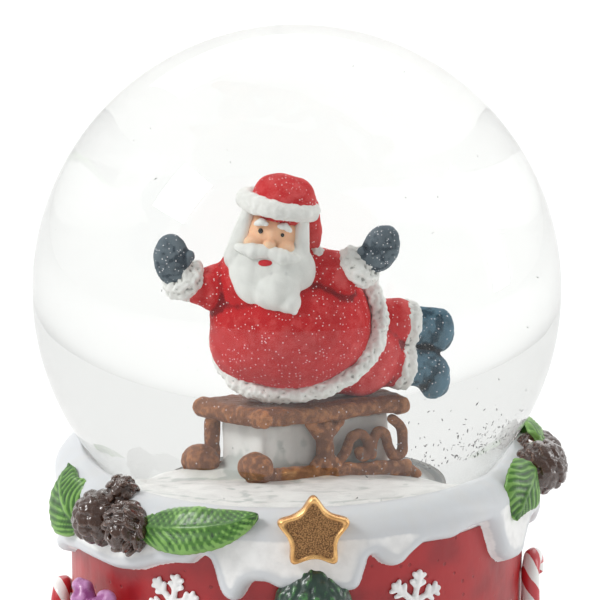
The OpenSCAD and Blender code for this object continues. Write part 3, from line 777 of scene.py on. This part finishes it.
def mitten_pair():
    clay = Clay()
    clay.limb(up(-16.9, -2.3, 2.6), up(-18, -2.8, 4.6), 2, 2.3)
    clay.ball(up(-18.2, -2.9, 5.2), (2.7, 2, 3.9), (0, -6, 0))
    clay.limb(up(-17, -3.2, 4), up(-15.7, -3.6, 5.9), 1, 0.95)
    clay.limb(up(9.8, -3.6, 4.8), up(11.4, -3.8, 6), 2, 2.3)
    clay.ball(up(12.2, -3.9, 7.1), (2.7, 2, 3.8), (0, 24, 0))
    clay.limb(up(10.6, -4.3, 6), up(9.5, -4.7, 6.9), 0.9, 0.8)
    mesh = clay.modelled(0.22, 6, (1.6, 0.1), (0.5, 0.06), seed=51, relief=0.12)
    keep(mesh, "mitten_pair", "mitten", ("mittens",))


# The head leans to one side; places on it are counted sideways, outwards and up from its middle.
HEAD = Vector((-3.5, -4, 99.6))
HEAD_LEAN = (6, 10, -6)


def on_head(x, out, z):
    return HEAD + turned_by(HEAD_LEAN) @ Vector((x, -out, z))


def head():
    clay = Clay()
    clay.ball(HEAD, (4.5, 4.4, 4.8), HEAD_LEAN)
    for side in (-1, 1):
        clay.ball(on_head(side * 2.2, 3.4, -0.9), (1.7, 1.3, 1.5))
        clay.ball(on_head(side * 4.3, 1, 0), (0.7, 0.8, 1.1))
    clay.ball(on_head(0, 4.7, -0.3), (0.95, 1, 0.85))
    clay.ball(on_head(0, 3.7, 0.9), (0.9, 0.8, 1.3))
    mesh = clay.modelled(0.2, 6, (1.5, 0.04), seed=61, relief=0.3)
    keep(mesh, "toy_head", "skin", ("santa_head",))

    clay = Clay()
    for side in (-1, 1):
        clay.ball(on_head(side * 1.65, 3.95, 1.45), (0.36, 0.3, 0.4))
    keep(fur_skin(clay, 62, 0.1, 0), "toy_eyes", "eye")

    clay = Clay()
    clay.ball(on_head(0, 5.6, -2.75), (1.1, 0.6, 0.5))
    keep(fur_skin(clay, 63, 0.1, 0), "toy_mouth", "mouth")


def beard():
    clay = Clay()
    clay.ball(up(-3.6, -6.2, 4.4), (6.4, 3.6, 5.2))
    clay.ball(up(-4.6, -6.6, 2.6), (5, 3, 4.2), (0, 24, 0))
    clay.string([up(-3, -7.6, 2), up(-1.2, -9.2, 0.4), up(-0.4, -10, -0.9)], [3.6, 1.9, 0.6])
    for side in (-1, 1):
        edge = [on_head(side * 4.1, 1.6, 3.4), on_head(side * 4.4, 1.9, 0), on_head(side * 4.5, 2.2, -4)]
        clay.string(edge, [1, 1.3, 2])
    mesh = clay.skin(0.24, 6)
    comb_strands(mesh, 1.3, 0.1)
    mark_relief(mesh, 0.22, 14)
    keep(mesh, "beard", "beard", ("santa_beard",))

    clay = Clay()
    for side in (-1, 1):
        clay.string(
            [on_head(side * 0.5, 5.1, -1.2), on_head(side * 2.2, 5.1, -1.5), on_head(side * 4.6, 4, -1.8)],
            [1.05, 1.25, 0.6],
        )
        clay.string(
            [on_head(side * 1, 4, 2.8), on_head(side * 1.8, 3.95, 2.95), on_head(side * 2.6, 3.6, 2.3)],
            [0.42, 0.6, 0.4],
        )
    mesh = clay.skin(0.18, 4)
    comb_strands(mesh, 0.8, 0.08)
    mark_relief(mesh, 0.2, 10)
    keep(mesh, "moustache_and_brows", "beard")


def comb_strands(mesh, width, depth):
    """Wavy locks that run down the hair."""
    points = read_points(mesh)
    wander = soft_noise(points * (1, 1, 0.35), 3.2, 71) * 1.6
    wave = np.abs(np.sin((points[:, 0] + wander) / width * math.pi / 1.6))
    swell_by(mesh, (wave - 0.6) * depth)


def hat():
    clay = Clay()
    clay.ball(on_head(0.7, 0.2, 5.6), (4.8, 4.6, 3.9), (0, 8, 0))
    clay.string(
        [on_head(2, -0.6, 6), on_head(4.2, -1.2, 4.2), on_head(5.8, -1.6, 1), on_head(6.4, -1.4, -1.4)],
        [3.2, 2.1, 1.2, 0.7],
    )
    mesh = clay.modelled(0.26, 8, (3, 0.25), (1, 0.05), seed=81)
    keep(mesh, "hat", "coat", ("santa_hat",))

    clay = Clay()
    around_head = [
        on_head(4.9 * math.sin(a), 4.7 * math.cos(a) - 0.2, 4.4 + 1.2 * math.cos(a))
        for a in np.linspace(0, 2 * math.pi, 14, endpoint=False)
    ]
    fur_string(clay, around_head, 1.5, closed=True)
    keep(fur_skin(clay, 82, depth=0.12), "hat_brim", "fur", ("hat_band",))

    clay = Clay()
    clay.ball(on_head(6.9, -1.2, -2.9), 1.35)
    keep(fur_skin(clay, 83, 0.16), "hat_ball", "fur", ("hat_pompom",))


# ---- the sled


def sled():
    """A toy sled: plank seat with rolled ends, posts, two runners with round toes, scroll-work."""

    def finished(clay, name, node, seed):
        layers = (3, 0.2), (0.9, 0.1), (0.4, 0.05)
        mesh = clay.modelled(0.24, 6, *layers, seed=seed, relief=0.25, rounds=16)
        keep(mesh, name, "sled", (node,))

    seat_z = 72.5
    track = 6.2

    clay = Clay()
    clay.slab(on_sled(0, 0, seat_z), (23.4, 14.2, 2), SLED_TURN)
    for edge in (-7, 7):
        clay.limb(on_sled(-11.6, edge, seat_z), on_sled(11.6, edge, seat_z), 1.15, 1.15)
    for end in (-11.6, 11.6):
        clay.limb(on_sled(end, -7, seat_z), on_sled(end, 7.2, seat_z), 1.45, 1.45)
    clay.slab(on_sled(0, 0, seat_z + 0.5), (22.6, 13, 1.8), SLED_TURN)
    finished(clay, "seat", "sled_seat", 91)

    clay = Clay()
    for side in (-1, 1):
        y = side * track
        clay.limb(on_sled(-0.4, y, 65.4), on_sled(-0.4, y, 70.4), 1.35, 1.35)
        clay.string([on_sled(-2.9, y, 71), on_sled(-0.6, y, 69.2), on_sled(2.2, y, 71)], [0.8, 1.4, 0.8])
        clay.string([on_sled(-2, y, 65), on_sled(-0.4, y, 66), on_sled(1.4, y, 65)], [0.9, 1.3, 0.9])
    clay.limb(on_sled(-10.6, track, 65.2), on_sled(-10.6, track, 70.6), 1.1, 1.15)
    clay.limb(on_sled(10.6, track, 65.2), on_sled(10.6, track, 70.6), 1, 1.1)
    finished(clay, "posts", "sled_posts", 92)

    for side, name, node in ((-1, "runner_near", "near_runner"), (1, "runner_far", "far_runner")):
        clay = Clay()
        y = side * track
        for lift in (63.6, 64.2):
            clay.limb(on_sled(-12, y, lift), on_sled(12.6, y, lift), 0.95, 0.9)
        clay.string([on_sled(12.6, y, 63.9), on_sled(14.4, y, 63.2)], [1, 0.6])
        toe = on_sled(-12.6, y, 65.3)
        across = on_sled(0, 1.2, 0) - on_sled(0, 0, 0)
        for k in range(-2, 3):
            clay.ball(toe + across * (k / 2), 2.4 - 0.12 * k * k)
        clay.limb(toe + Vector((0, 0, -1.4)), toe + Vector((0.6, 0.4, -1.6)), 1.6, 1.5)
        finished(clay, name, node, 93 + side)

    clay = Clay()
    scrolls = (
        [(1.6, 65.2), (2.9, 66.6), (3.8, 68.4), (5.4, 69), (6.5, 68), (6.6, 66.4), (5.7, 65.8),
         (5.2, 66.6)],
        [(7.3, 66), (7.4, 67.6), (8.2, 69), (9.4, 68.6), (9.9, 67), (10.7, 65.7), (11.9, 66),
         (12.2, 67.8), (11.8, 69.6), (10.6, 70.6)],
    )
    for side in (-1, 1):
        for path in scrolls:
            wire = [on_sled(x, side * (track + 0.1), z) for x, z in curve_through(path, 4)]
            clay.string(wire, [0.74] * len(wire))
    mesh = clay.modelled(0.18, 4, (1.5, 0.08), (0.6, 0.05), seed=96, rounds=12)
    keep(mesh, "scrolls", "sled", ("sled_scrolls",))


# ---- the snow on the base

# Lower edge of the snow that hangs over the drum, as azimuth and height, once round.
DRIPS = [
    (-78, 40.5), (-71, 43.5), (-62, 45), (-45, 45), (-39, 46), (-35, 47.5), (-30, 48.7), (-25, 49.2),
    (-22, 51.2), (-19.8, 50.6), (-18.8, 46.5), (-17.4, 43.9), (-15, 43), (-12.8, 43.6), (-11.4, 46),
    (-10, 47.2), (-7, 47.2), (-4, 46), (0, 46), (5, 45), (11, 45), (14, 45.4), (15.4, 47.4), (16, 51),
    (17.2, 52), (20, 49.8), (22.5, 49), (25, 49.4), (27, 51), (30, 52.6), (38, 52.1), (44, 53.4),
    (50.5, 53.3), (52.4, 50), (55, 45.6), (59, 43.4), (63.5, 42.9), (67, 43.6), (69, 46.5), (72, 48.4),
    (80, 48), (87, 45), (92, 42.4), (97, 42), (101, 45), (105, 49), (113, 50.2), (121, 48.6), (127, 44.6),
    (132, 43), (137, 44), (141, 48), (149, 49.6), (158, 48), (164, 45), (174, 46), (184, 45.4), (193, 46.4),
    (198, 50), (206, 51.2), (214, 49.4), (220, 45.8), (226, 44), (232, 45.6), (237, 49.4), (246, 50.6),
    (254, 49), (259, 45.6), (264, 43.6), (269, 43.4), (274, 45), (278, 43.8),
]


def snow_cap():
    """The rim of snow round the glass and the drips over the drum, thick and round-edged."""
    snow_thick, edge_round = 2.8, 1.9
    skirt_low, skirt_high = 41, 56.5
    gap = 0.12

    def glass_at(z):
        return math.sqrt(BALL_R**2 - (BALL[2] - z) ** 2)

    azimuths = np.linspace(-180, 180, 960, endpoint=False)
    knots = np.array(DRIPS)
    turns = np.concatenate([knots[:, 0] - 360, knots[:, 0], knots[:, 0] + 360])
    quarters = np.arange(-180, 180, 0.25)
    edge = np.interp(quarters, turns, np.tile(knots[:, 1], 3))
    edge = np.convolve(np.r_[edge[-3:], edge, edge[:3]], np.ones(7) / 7, "valid")
    along = np.radians(quarters) * DRUM_R
    heights = np.linspace(skirt_low, skirt_high, 44)
    front = np.radians(azimuths)
    tops = RIM_Z + 1.2 - 1.3 * np.cos(front) + 0.5 * np.sin(3 * front + math.radians(40))
    rows = []
    for azimuth, top in zip(azimuths, tops):
        # How far each height is inside the wavy edge, measured over the drum's surface.
        apart = np.abs(along - math.radians(azimuth) * DRUM_R)
        apart = np.minimum(apart, 2 * math.pi * DRUM_R - apart)
        close = apart < 9
        gaps = np.hypot(apart[close][None, :], heights[:, None] - edge[close][None, :]).min(axis=1)
        inward = np.where(heights > np.interp(azimuth, quarters, edge), gaps, -gaps)
        swell = np.clip(inward / edge_round, 0, 1)
        thick = np.where(inward > 0, snow_thick * np.sqrt(1 - (1 - swell) ** 2), -0.35)
        bead = 0.45 * np.exp(-(((inward - 2.2) / 2.2) ** 2)) * (inward > 0)
        profile = [
            *zip(DRUM_R + thick + bead, heights),
            (46, 57.4), (45, 58.8), (43, 59.6 + 0.35 * (top - 59.6)),
            (41.6, top + 0.1), (40.6, top + 0.3),
            (glass_at(top) + 0.7, top + 0.1), (glass_at(top) + gap, top - 0.5),
            *((glass_at(z) + gap, z) for z in (top - 2.5, 55, 53.8)),
            (41.4, 52.2), (42.8, 48), (42.8, skirt_low),
        ]
        rows.append([around(azimuth, r, z) for r, z in profile])
    mesh = modified(lofted(rows, closed=True), ("SMOOTH", {"factor": 0.5, "iterations": 3}))
    points = read_points(mesh)
    free = np.clip((np.hypot(points[:, 0], points[:, 1]) - DRUM_R - 0.3) / 1.2, 0, 1)
    free = np.maximum(free, (points[:, 2] > 58.4) * 0.7)
    roughen(mesh, (7, 0.22), (2.2, 0.05), (0.7, 0.015), seed=1, share=free)
    mark_relief(mesh, 0.25)
    keep(mesh, "rim_snow", "snow", ("snow_cap",))


def foot_snow():
    """The bank of snow the base stands in, drifted up against the drum."""
    low = 1.1
    rows = []
    for azimuth in np.linspace(-180, 180, 540, endpoint=False):
        a = math.radians(azimuth)
        drift = 11.5 + 1.8 * math.sin(5 * a + 1) + 1.1 * math.sin(11 * a) + 0.7 * math.sin(17 * a + 2)
        bulge = FOOT_R + 0.5 * math.sin(7 * a) + 0.3 * math.sin(13 * a + 1)
        corners = [
            (43.1, low), (43.1, drift - 1.2), (43.9, drift), (45.3, drift - 0.6), (47, drift - 3),
            (bulge - 0.3, 6.6), (bulge, 4), (bulge - 0.5, 2), (bulge - 1.8, low), (45, low),
        ]
        rows.append([around(azimuth, r, z) for r, z in curve_through(corners, 3, closed=True)])
    mesh = lofted(rows, closed=True)
    points = read_points(mesh)
    free = np.clip((np.hypot(points[:, 0], points[:, 1]) - 44) / 2, 0, 1)
    free = free * np.clip(points[:, 2] - low - 0.5, 0, 1)
    roughen(mesh, (4, 0.35), (1.4, 0.1), seed=5, share=free)
    mark_relief(mesh, 0.25)
    keep(mesh, "snow_bank", "snow", ("foot_snow",))


# ---- decorations


def star():
    """A plump five-pointed star with a raised bright border and a sunken grainy face."""
    centre = around(TREE_AT, 46.9, 57.3)
    facing = Matrix.Rotation(math.radians(TREE_AT), 4, "Z") @ Matrix.Rotation(math.radians(-6), 4, "X")
    outline = []
    for k in range(10):
        a = math.pi * k / 5
        r = 4.3 if k % 2 else 7.5
        outline.append(Vector((r * math.sin(a), 0, r * math.cos(a))))
    for _ in range(4):
        pairs = zip(outline, outline[1:] + outline[:1])
        outline = [p for a, b in pairs for p in (a * 0.8 + b * 0.2, a * 0.2 + b * 0.8)]
    # Size and depth of the outline, from the back round the border and down to the face.
    rings = [
        (0.9, 1.7), (0.97, 1.2), (1, 0.4), (1, -0.6), (0.99, -1.1), (0.965, -1.5), (0.93, -1.75),
        (0.89, -1.8), (0.85, -1.7), (0.82, -1.5), (0.79, -1.36), (0.74, -1.3), (0.6, -1.32),
        (0.4, -1.35), (0.2, -1.4), (0.05, -1.4),
    ]
    placed = Matrix.Translation(centre) @ facing
    mesh = lofted([[placed @ (p * s + Vector((0, depth, 0))) for p in outline] for s, depth in rings])
    ring_number = np.arange(len(mesh.vertices)) // len(outline)
    roughen(mesh, (2, 0.06), seed=101)
    store(mesh, "face", np.clip((ring_number - 8.4) / 1.6, 0, 1))
    keep(mesh, "gold_star", "gold", ("tree_star",))


# Tiers of a fir: lowest height, width at its tips, height, tufts.
TIERS = (
    (9.2, 11, 12, 13), (18, 10, 11, 12), (26.5, 9.2, 11, 11), (34, 8.6, 10.5, 10), (41, 7.2, 9.6, 8)
)


def fir_trees():
    """Two half-round firs of hanging, pointed tufts, with gold baubles hung in them."""
    clay = Clay()
    baubles = Clay()
    rng = random.Random(7)
    for azimuth in (TREE_AT, TREE_AT + 180):
        middle = around(azimuth, DRUM_R + 1.6, 0)
        turn = Matrix.Rotation(math.radians(azimuth), 3, "Z")
        for tier, (z, width, height, count) in enumerate(TIERS):
            top = Vector((0, 0, z + height * 0.95))
            clay.limb(middle + turn @ Vector((0, 0, z + 1)), middle + turn @ top, width * 0.55, 1.2)
            for k in range(count):
                a = math.radians(-98 + 196 * (k + 0.5 * (tier % 2)) / (count - 0.5))
                out = Vector((math.sin(a) * width, -max(math.cos(a), -0.1) * width * 0.62, 0))
                tip = out + Vector((0, 0, z + rng.uniform(0, 1.2)))
                mid = out * 0.72 + Vector((0, 0, z + height * 0.42))
                start = out * 0.2 + Vector((0, 0, z + height * 0.85))
                points = [middle + turn @ p for p in (start, mid, tip)]
                clay.string(points, [1.1, 1.5, 0.55])
            for k in (-1, 1) if tier % 2 else (0,):
                a = math.radians(38 * k + rng.uniform(-12, 12))
                at = Vector((math.sin(a) * width * 0.95, -math.cos(a) * width * 0.75, z + height * 0.3))
                baubles.ball(middle + turn @ at, 1.15)
    mesh = clay.skin(0.34, 3)
    swell_by(mesh, 0.24 * soft_noise(read_points(mesh) * (1, 1, 0.28), 0.62, 110))
    mark_relief(mesh, 0.34, 10)
    keep(mesh, "firs", "tree", ("fir_trees",))
    mesh = baubles.modelled(0.18, 4, (0.9, 0.08), seed=112, relief=0.15, rounds=12)
    keep(mesh, "baubles", "bauble", ("tree_ornaments",))


def leaf(bm, spine, width, tilt):
    """Adds one leaf. The spine is a list of (azimuth, radius, height); tilt leans its face upwards."""
    thick = 0.55
    vein_gap = 1.6
    centre = [around(*p) for p in curve_through(spine, 40 // (len(spine) - 1))]
    steps = [(b - a).length for a, b in zip(centre, centre[1:])]
    length = sum(steps)
    rows = []
    for i, point in enumerate(centre):
        ahead = (centre[min(i + 1, len(centre) - 1)] - centre[max(i - 1, 0)]).normalized()
        t = sum(steps[:i]) / length
        outward = Vector((point.x, point.y, 0)).normalized()
        facing = outward * math.cos(tilt) + Vector((0, 0, math.sin(tilt)))
        facing = (facing - ahead * facing.dot(ahead)).normalized()
        side = ahead.cross(facing)
        half = width / 2 * (math.sin(math.pi * min(t * 0.96 + 0.04, 1) ** 0.8) ** 0.62) + 0.05
        top, bottom = [], []
        for v in np.linspace(-1, 1, 51):
            # Side veins slant from the midrib to the edge; the edge draws in between them.
            vein_at = (t * length - abs(v) * half * 0.85) / vein_gap + 0.3 * math.sin(t * 9 + v * 3)
            ridge = 1 - abs((vein_at % 1) * 2 - 1)
            scallop = 1 - 0.05 * (1 - ridge) * abs(v) ** 3
            droop = -0.16 * half * v * v
            midrib = 0.34 * math.exp(-((v * half / 0.5) ** 2))
            veins = 0.26 * ridge * min(1, abs(v) * 6) * (1 - v**6)
            base = point + side * (v * half * scallop)
            top.append(base + facing * (droop + midrib + veins + thick * (1 - v**8)))
            bottom.append(base + facing * (droop - thick * 0.6))
        rows.append(top + bottom[::-1])
    loft(bm, rows)


def leaves():
    groups = (
        ("leaf_pair_left", "left_leaves", (
            ([(-37, 46.4, 55.2), (-27, 47.4, 56.4), (-17, 47.1, 57.8), (-8.5, 45.7, 60)], 9, 0.56),
            ([(-60, 46.4, 50.4), (-64, 47.6, 53.6), (-68, 47, 57), (-70, 44.6, 59.8)], 13, 0.5),
        )),
        ("leaf_pair_right", "right_leaves", (
            ([(70, 46.6, 59.4), (65.5, 47.4, 57.8), (62, 47.2, 55.4), (59.5, 46.4, 52)], 11.4, 0.35),
            ([(84, 45.6, 62), (93, 46.4, 61.4), (101, 46, 58.6), (108, 45, 54.6)], 8.4, 0.6),
        )),
    )
    for name, node, members in groups:
        bm = bmesh.new()
        for spine, width, tilt in members:
            leaf(bm, spine, width, tilt)
        mesh = mesh_from(bm)
        roughen(mesh, (3, 0.2), (0.9, 0.05), seed=121)
        mark_relief(mesh, 0.16, 10)
        keep(mesh, name, "leaf", (node,))


GOLDEN = 2.39996


def pinecone(clay, azimuth, r, z, size, lean):
    """A small closed cone: round scales wound over a ball by the golden angle."""
    centre = around(azimuth, r, z)
    turned = turned_by((*lean, 0))
    clay.ball(centre, size * 0.8)
    tip = turned @ Vector((0, 0, 1))
    count = int(2.2 * size * size)
    for k in range(count):
        h = 1 - 2 * (k + 0.5) / count
        a = k * GOLDEN
        flat = math.sqrt(1 - h * h)
        way = turned @ Vector((flat * math.cos(a), flat * math.sin(a), h))
        plate = (way + 0.75 * tip).to_track_quat("Z", "Y").to_matrix()
        wide = size * (0.36 + 0.05 * math.sin(k * 2.3))
        at = centre + way * size * (0.84 + 0.05 * math.sin(k * 1.7))
        clay.ball(at, (wide, wide, size * 0.15), facing=plate)


def pinecones():
    groups = (
        ("cones_left", "left_pinecones", (
            (-50.5, 46.6, 54.6, 4.8, (20, 30)),
            (-40.5, 46.8, 54.6, 4.6, (-40, 60)),
            (-46.5, 43.8, 59.8, 3, (0, 0)),
        )),
        ("cones_right", "right_pinecones", (
            (77, 47.6, 58.2, 4.8, (10, 70)),
            (90, 46.2, 57.6, 4.4, (50, 10)),
        )),
    )
    for name, node, members in groups:
        clay = Clay()
        for azimuth, r, z, size, lean in members:
            pinecone(clay, azimuth, r, z, size, lean)
        mesh = clay.modelled(0.2, 2, (1.1, 0.14), (0.5, 0.08), seed=131, relief=0.34, rounds=10)
        keep(mesh, name, "cone", (node,))


def on_drum(azimuth, z, lift=0.0):
    """The frame of a spot on the drum: X along it, Y into it and Z up."""
    turn = Matrix.Rotation(math.radians(azimuth), 4, "Z")
    return Matrix.Translation(around(azimuth, DRUM_R + lift, z)) @ turn


# Azimuth, width, depth, and lowest and highest height of each box.
GIFTS = (
    (-54, 17, 5.5, SHELF_Z, 23),
    (-52, 13, 5, 23.1, 35.5),
    (57, 14, 5.5, SHELF_Z, 22),
    (148, 16, 5, SHELF_Z, 24),
)


# A bow's loop as shares of its reach with a lift, and its tail as reach and drop.
BOW_LOOP = ((0.2, 0), (0.8, 0.6), (1.15, 0))
BOW_TAIL = ((0.8, 0), (2, 1.6), (2.6, 3.6))


def gifts():
    """Wrapped boxes with lids, a ribbon up each front and a bow on top."""
    boxes, ribbons = Clay(), Clay()
    for azimuth, width, depth, low, high in GIFTS:
        spot = on_drum(azimuth, 0)

        def placed(*points):
            return [spot @ Vector(p) for p in points]

        middle, lid = placed((0, 0.4 - depth / 2, (low + high) / 2), (0, 0.3 - depth / 2, high - 1.7))
        boxes.slab(middle, (width, depth, high - low), azimuth)
        boxes.slab(lid, (width + 1, depth + 1, 3), azimuth)
        front = -depth - 0.15
        for x, radius in ((0, 0.9), (-1.1, 0.7), (1.1, 0.7)):
            ribbons.string(placed((x, front, low + 0.6), (x, front - 0.3, high)), [radius, radius])
        knot_y, knot_z = 1.8 - depth, high + 1
        for side in (-1, 1):
            for fold in (0, 1):
                x, y, z = side * (4.2 - fold), -0.6 - fold, 2.8 - 1.6 * fold
                loop = [(x * s, knot_y + y * s, knot_z + z * s + lift) for s, lift in BOW_LOOP]
                ribbons.string(placed(*loop), [0.9, 1.7, 1.5])
            tail = [(side * x, knot_y - 1.4, knot_z - drop) for x, drop in BOW_TAIL]
            ribbons.string(placed(*tail), [0.7, 0.8, 0.6])
        ribbons.ball(placed((0, knot_y - 1, knot_z + 0.6))[0], 1.5)
    mesh = boxes.modelled(0.4, 5, (5, 0.3), (1.5, 0.08), seed=141, relief=0.3)
    keep(mesh, "wrapped_boxes", "teal", ("gift_boxes",))
    mesh = ribbons.modelled(0.28, 5, (2.4, 0.25), (0.9, 0.12), seed=142, relief=0.3)
    keep(mesh, "ribbons_and_bows", "purple", ("gift_ribbons",))


def canes():
    """Striped canes that lean on the drum, hooked over at the top."""
    bm = bmesh.new()
    stripes = []
    hook = 3.2
    side = Vector((0, 1, 0))
    for azimuth, height in ((79, 26), (-96, 18), (196, 24)):
        spot = on_drum(azimuth, SHELF_Z, 2)
        path = [Vector((0, 0, h)) for h in np.linspace(0, height, 40)]
        for a in np.linspace(0.1, 3.5, 22):
            path.append(Vector((hook - hook * math.cos(a), 0, height + hook * math.sin(a))))
        rows = []
        for i, point in enumerate(path):
            ahead = (path[min(i + 1, len(path) - 1)] - path[max(i - 1, 0)]).normalized()
            other = ahead.cross(side)
            thick = 1.75 * (1 if 0 < i < len(path) - 1 else 0.6)
            circle = []
            for a in np.linspace(0, 2 * math.pi, 28, endpoint=False):
                circle.append(spot @ (point + thick * (math.cos(a) * side + math.sin(a) * other)))
                stripes.append(math.sin(i * 0.62 + a * 2))
            rows.append(circle)
        loft(bm, rows)
    mesh = mesh_from(bm)
    store(mesh, "stripe", stripes)
    roughen(mesh, (2, 0.1), (0.8, 0.04), seed=151)
    keep(mesh, "canes", "cane", ("candy_canes",))


# Azimuth, height and reach of each raised snowflake.
RELIEFS = (
    (29, 41.2, 5.6), (-31, 40.8, 5.2), (-24, 22, 4), (32, 22, 4.4), (102, 34, 5), (124, 24, 4.2),
    (172, 32, 4.8), (222, 34, 4.8), (244, 22, 4.2),
)


def snowflake_reliefs():
    clay = Clay()
    for azimuth, z, size in RELIEFS:
        def flat(x, h):
            return around(azimuth + math.degrees(x / DRUM_R), DRUM_R + 0.25, z + h)

        for k in range(6):
            a = math.radians(60 * k + 12)
            x, h = size * math.sin(a), size * math.cos(a)
            clay.limb(flat(0, 0), flat(x, h), 0.62, 0.55)
            for reach, twig in ((0.5, 0.3 * size), (0.78, 0.26 * size)):
                for b in (a - 0.95, a + 0.95):
                    end = flat(reach * x + twig * math.sin(b), reach * h + twig * math.cos(b))
                    clay.limb(flat(reach * x, reach * h), end, 0.5, 0.46)
    mesh = clay.modelled(0.22, 3, (0.9, 0.06), seed=161, rounds=10)
    keep(mesh, "raised_snowflakes", "snow", ("snowflake_reliefs",))


# ---- finish for the parts kept as they are

FINISHES = {
    "drum": ["base_shell"],
    "rubber": ["rubber_plug"],
    "plastic": ["bottom_cover", "governor_frame"],
    "felt": ["felt_ring"],
    "zinc": ["bedplate", "drum_post"],
    "steel": [
        "cover_screws", "movement_screws", "mainspring", "winding_arbor", "winding_key", "barrel_bridge",
        "clutch_spring", "drum_pins", "drum_arbor", "comb", "comb_screws", "fly_arbor",
    ],
    "brass": ["spring_barrel", "crown_gear", "music_drum", "drum_wheel", "idler_gear"],
    "aluminium": ["fly_blades"],
}


def dress_the_rest():
    for look, nodes in FINISHES.items():
        for node in nodes:
            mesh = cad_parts[node].data
            mesh.materials.clear()
            mesh.materials.append(looks[look])


# ---- studio


WHITE = (1, 1, 1, 1)


def studio():
    """A bright, even room with soft lamps, a white floor and the camera in front."""
    scene = bpy.context.scene
    scene.view_settings.view_transform = "Standard"

    sky = Paint("studio", bpy.data.worlds)
    depth = sky.node("SeparateXYZ", {0: sky.node("TexCoord", out="Generated")}, out="Y")
    shade = {"Value": depth, "From Min": -0.6, "From Max": 0.5, "To Min": 0.42, "To Max": 1}
    glow = sky.node("Background", {"Color": WHITE, "Strength": sky.node("MapRange", shade)})
    sky.node("OutputWorld", {"Surface": glow})
    scene.world = sky.owner

    def area(name, at, size, power, aim=(0, 0, 0.08)):
        light = bpy.data.lights.new(name, "AREA")
        light.shape = "RECTANGLE"
        light.size, light.size_y = size
        light.energy = power
        lamp = bpy.data.objects.new(name, light)
        lamp.location = at
        way = Vector(aim) - lamp.location
        lamp.rotation_euler = way.to_track_quat("-Z", "Y").to_euler()
        scene.collection.objects.link(lamp)

    area("key", (-0.9, -0.35, 0.95), (0.4, 0.4), 9)
    area("side", (0.95, 0.1, 0.4), (0.2, 0.7), 2.5)
    area("back", (0, 1.1, 0.9), (1.4, 0.8), 4.6, (0, 0.65, 0))

    floor = bpy.data.meshes.new("floor")
    edge = [(1.5 * x, 1.5 * y, -0.0002) for x, y in ((-1, -1), (1, -1), (1, 1), (-1, 1))]
    floor.from_pydata(edge, [], [(0, 1, 2, 3)])
    paint = Paint("floor_white")
    tone = paint.mix(paint.noise(40), (0.9, 0.9, 0.9), (0.93, 0.93, 0.93))
    floor.materials.append(paint.finish(tone, 0.9, Emission_Color=WHITE, Emission_Strength=0.04))
    sheet = bpy.data.objects.new("floor", floor)
    scene.collection.objects.link(sheet)

    lens = bpy.data.cameras.new("camera")
    lens.lens = 180.5
    lens.clip_end = 30
    camera = bpy.data.objects.new("camera", lens)
    camera.location = (0, -0.55307, 0.2279)
    aim = Vector((0.0006, 0, 0.0879)) - camera.location
    camera.rotation_euler = aim.to_track_quat("-Z", "Y").to_euler()
    scene.collection.objects.link(camera)
    scene.camera = camera


glass_ball()
snow_mound()
snow_flakes()
coat()
trims()
trousers()
boots()
mitten_pair()
head()
beard()
hat()
sled()
snow_cap()
foot_snow()
star()
fir_trees()
leaves()
pinecones()
gifts()
canes()
snowflake_reliefs()
dress_the_rest()
studio()
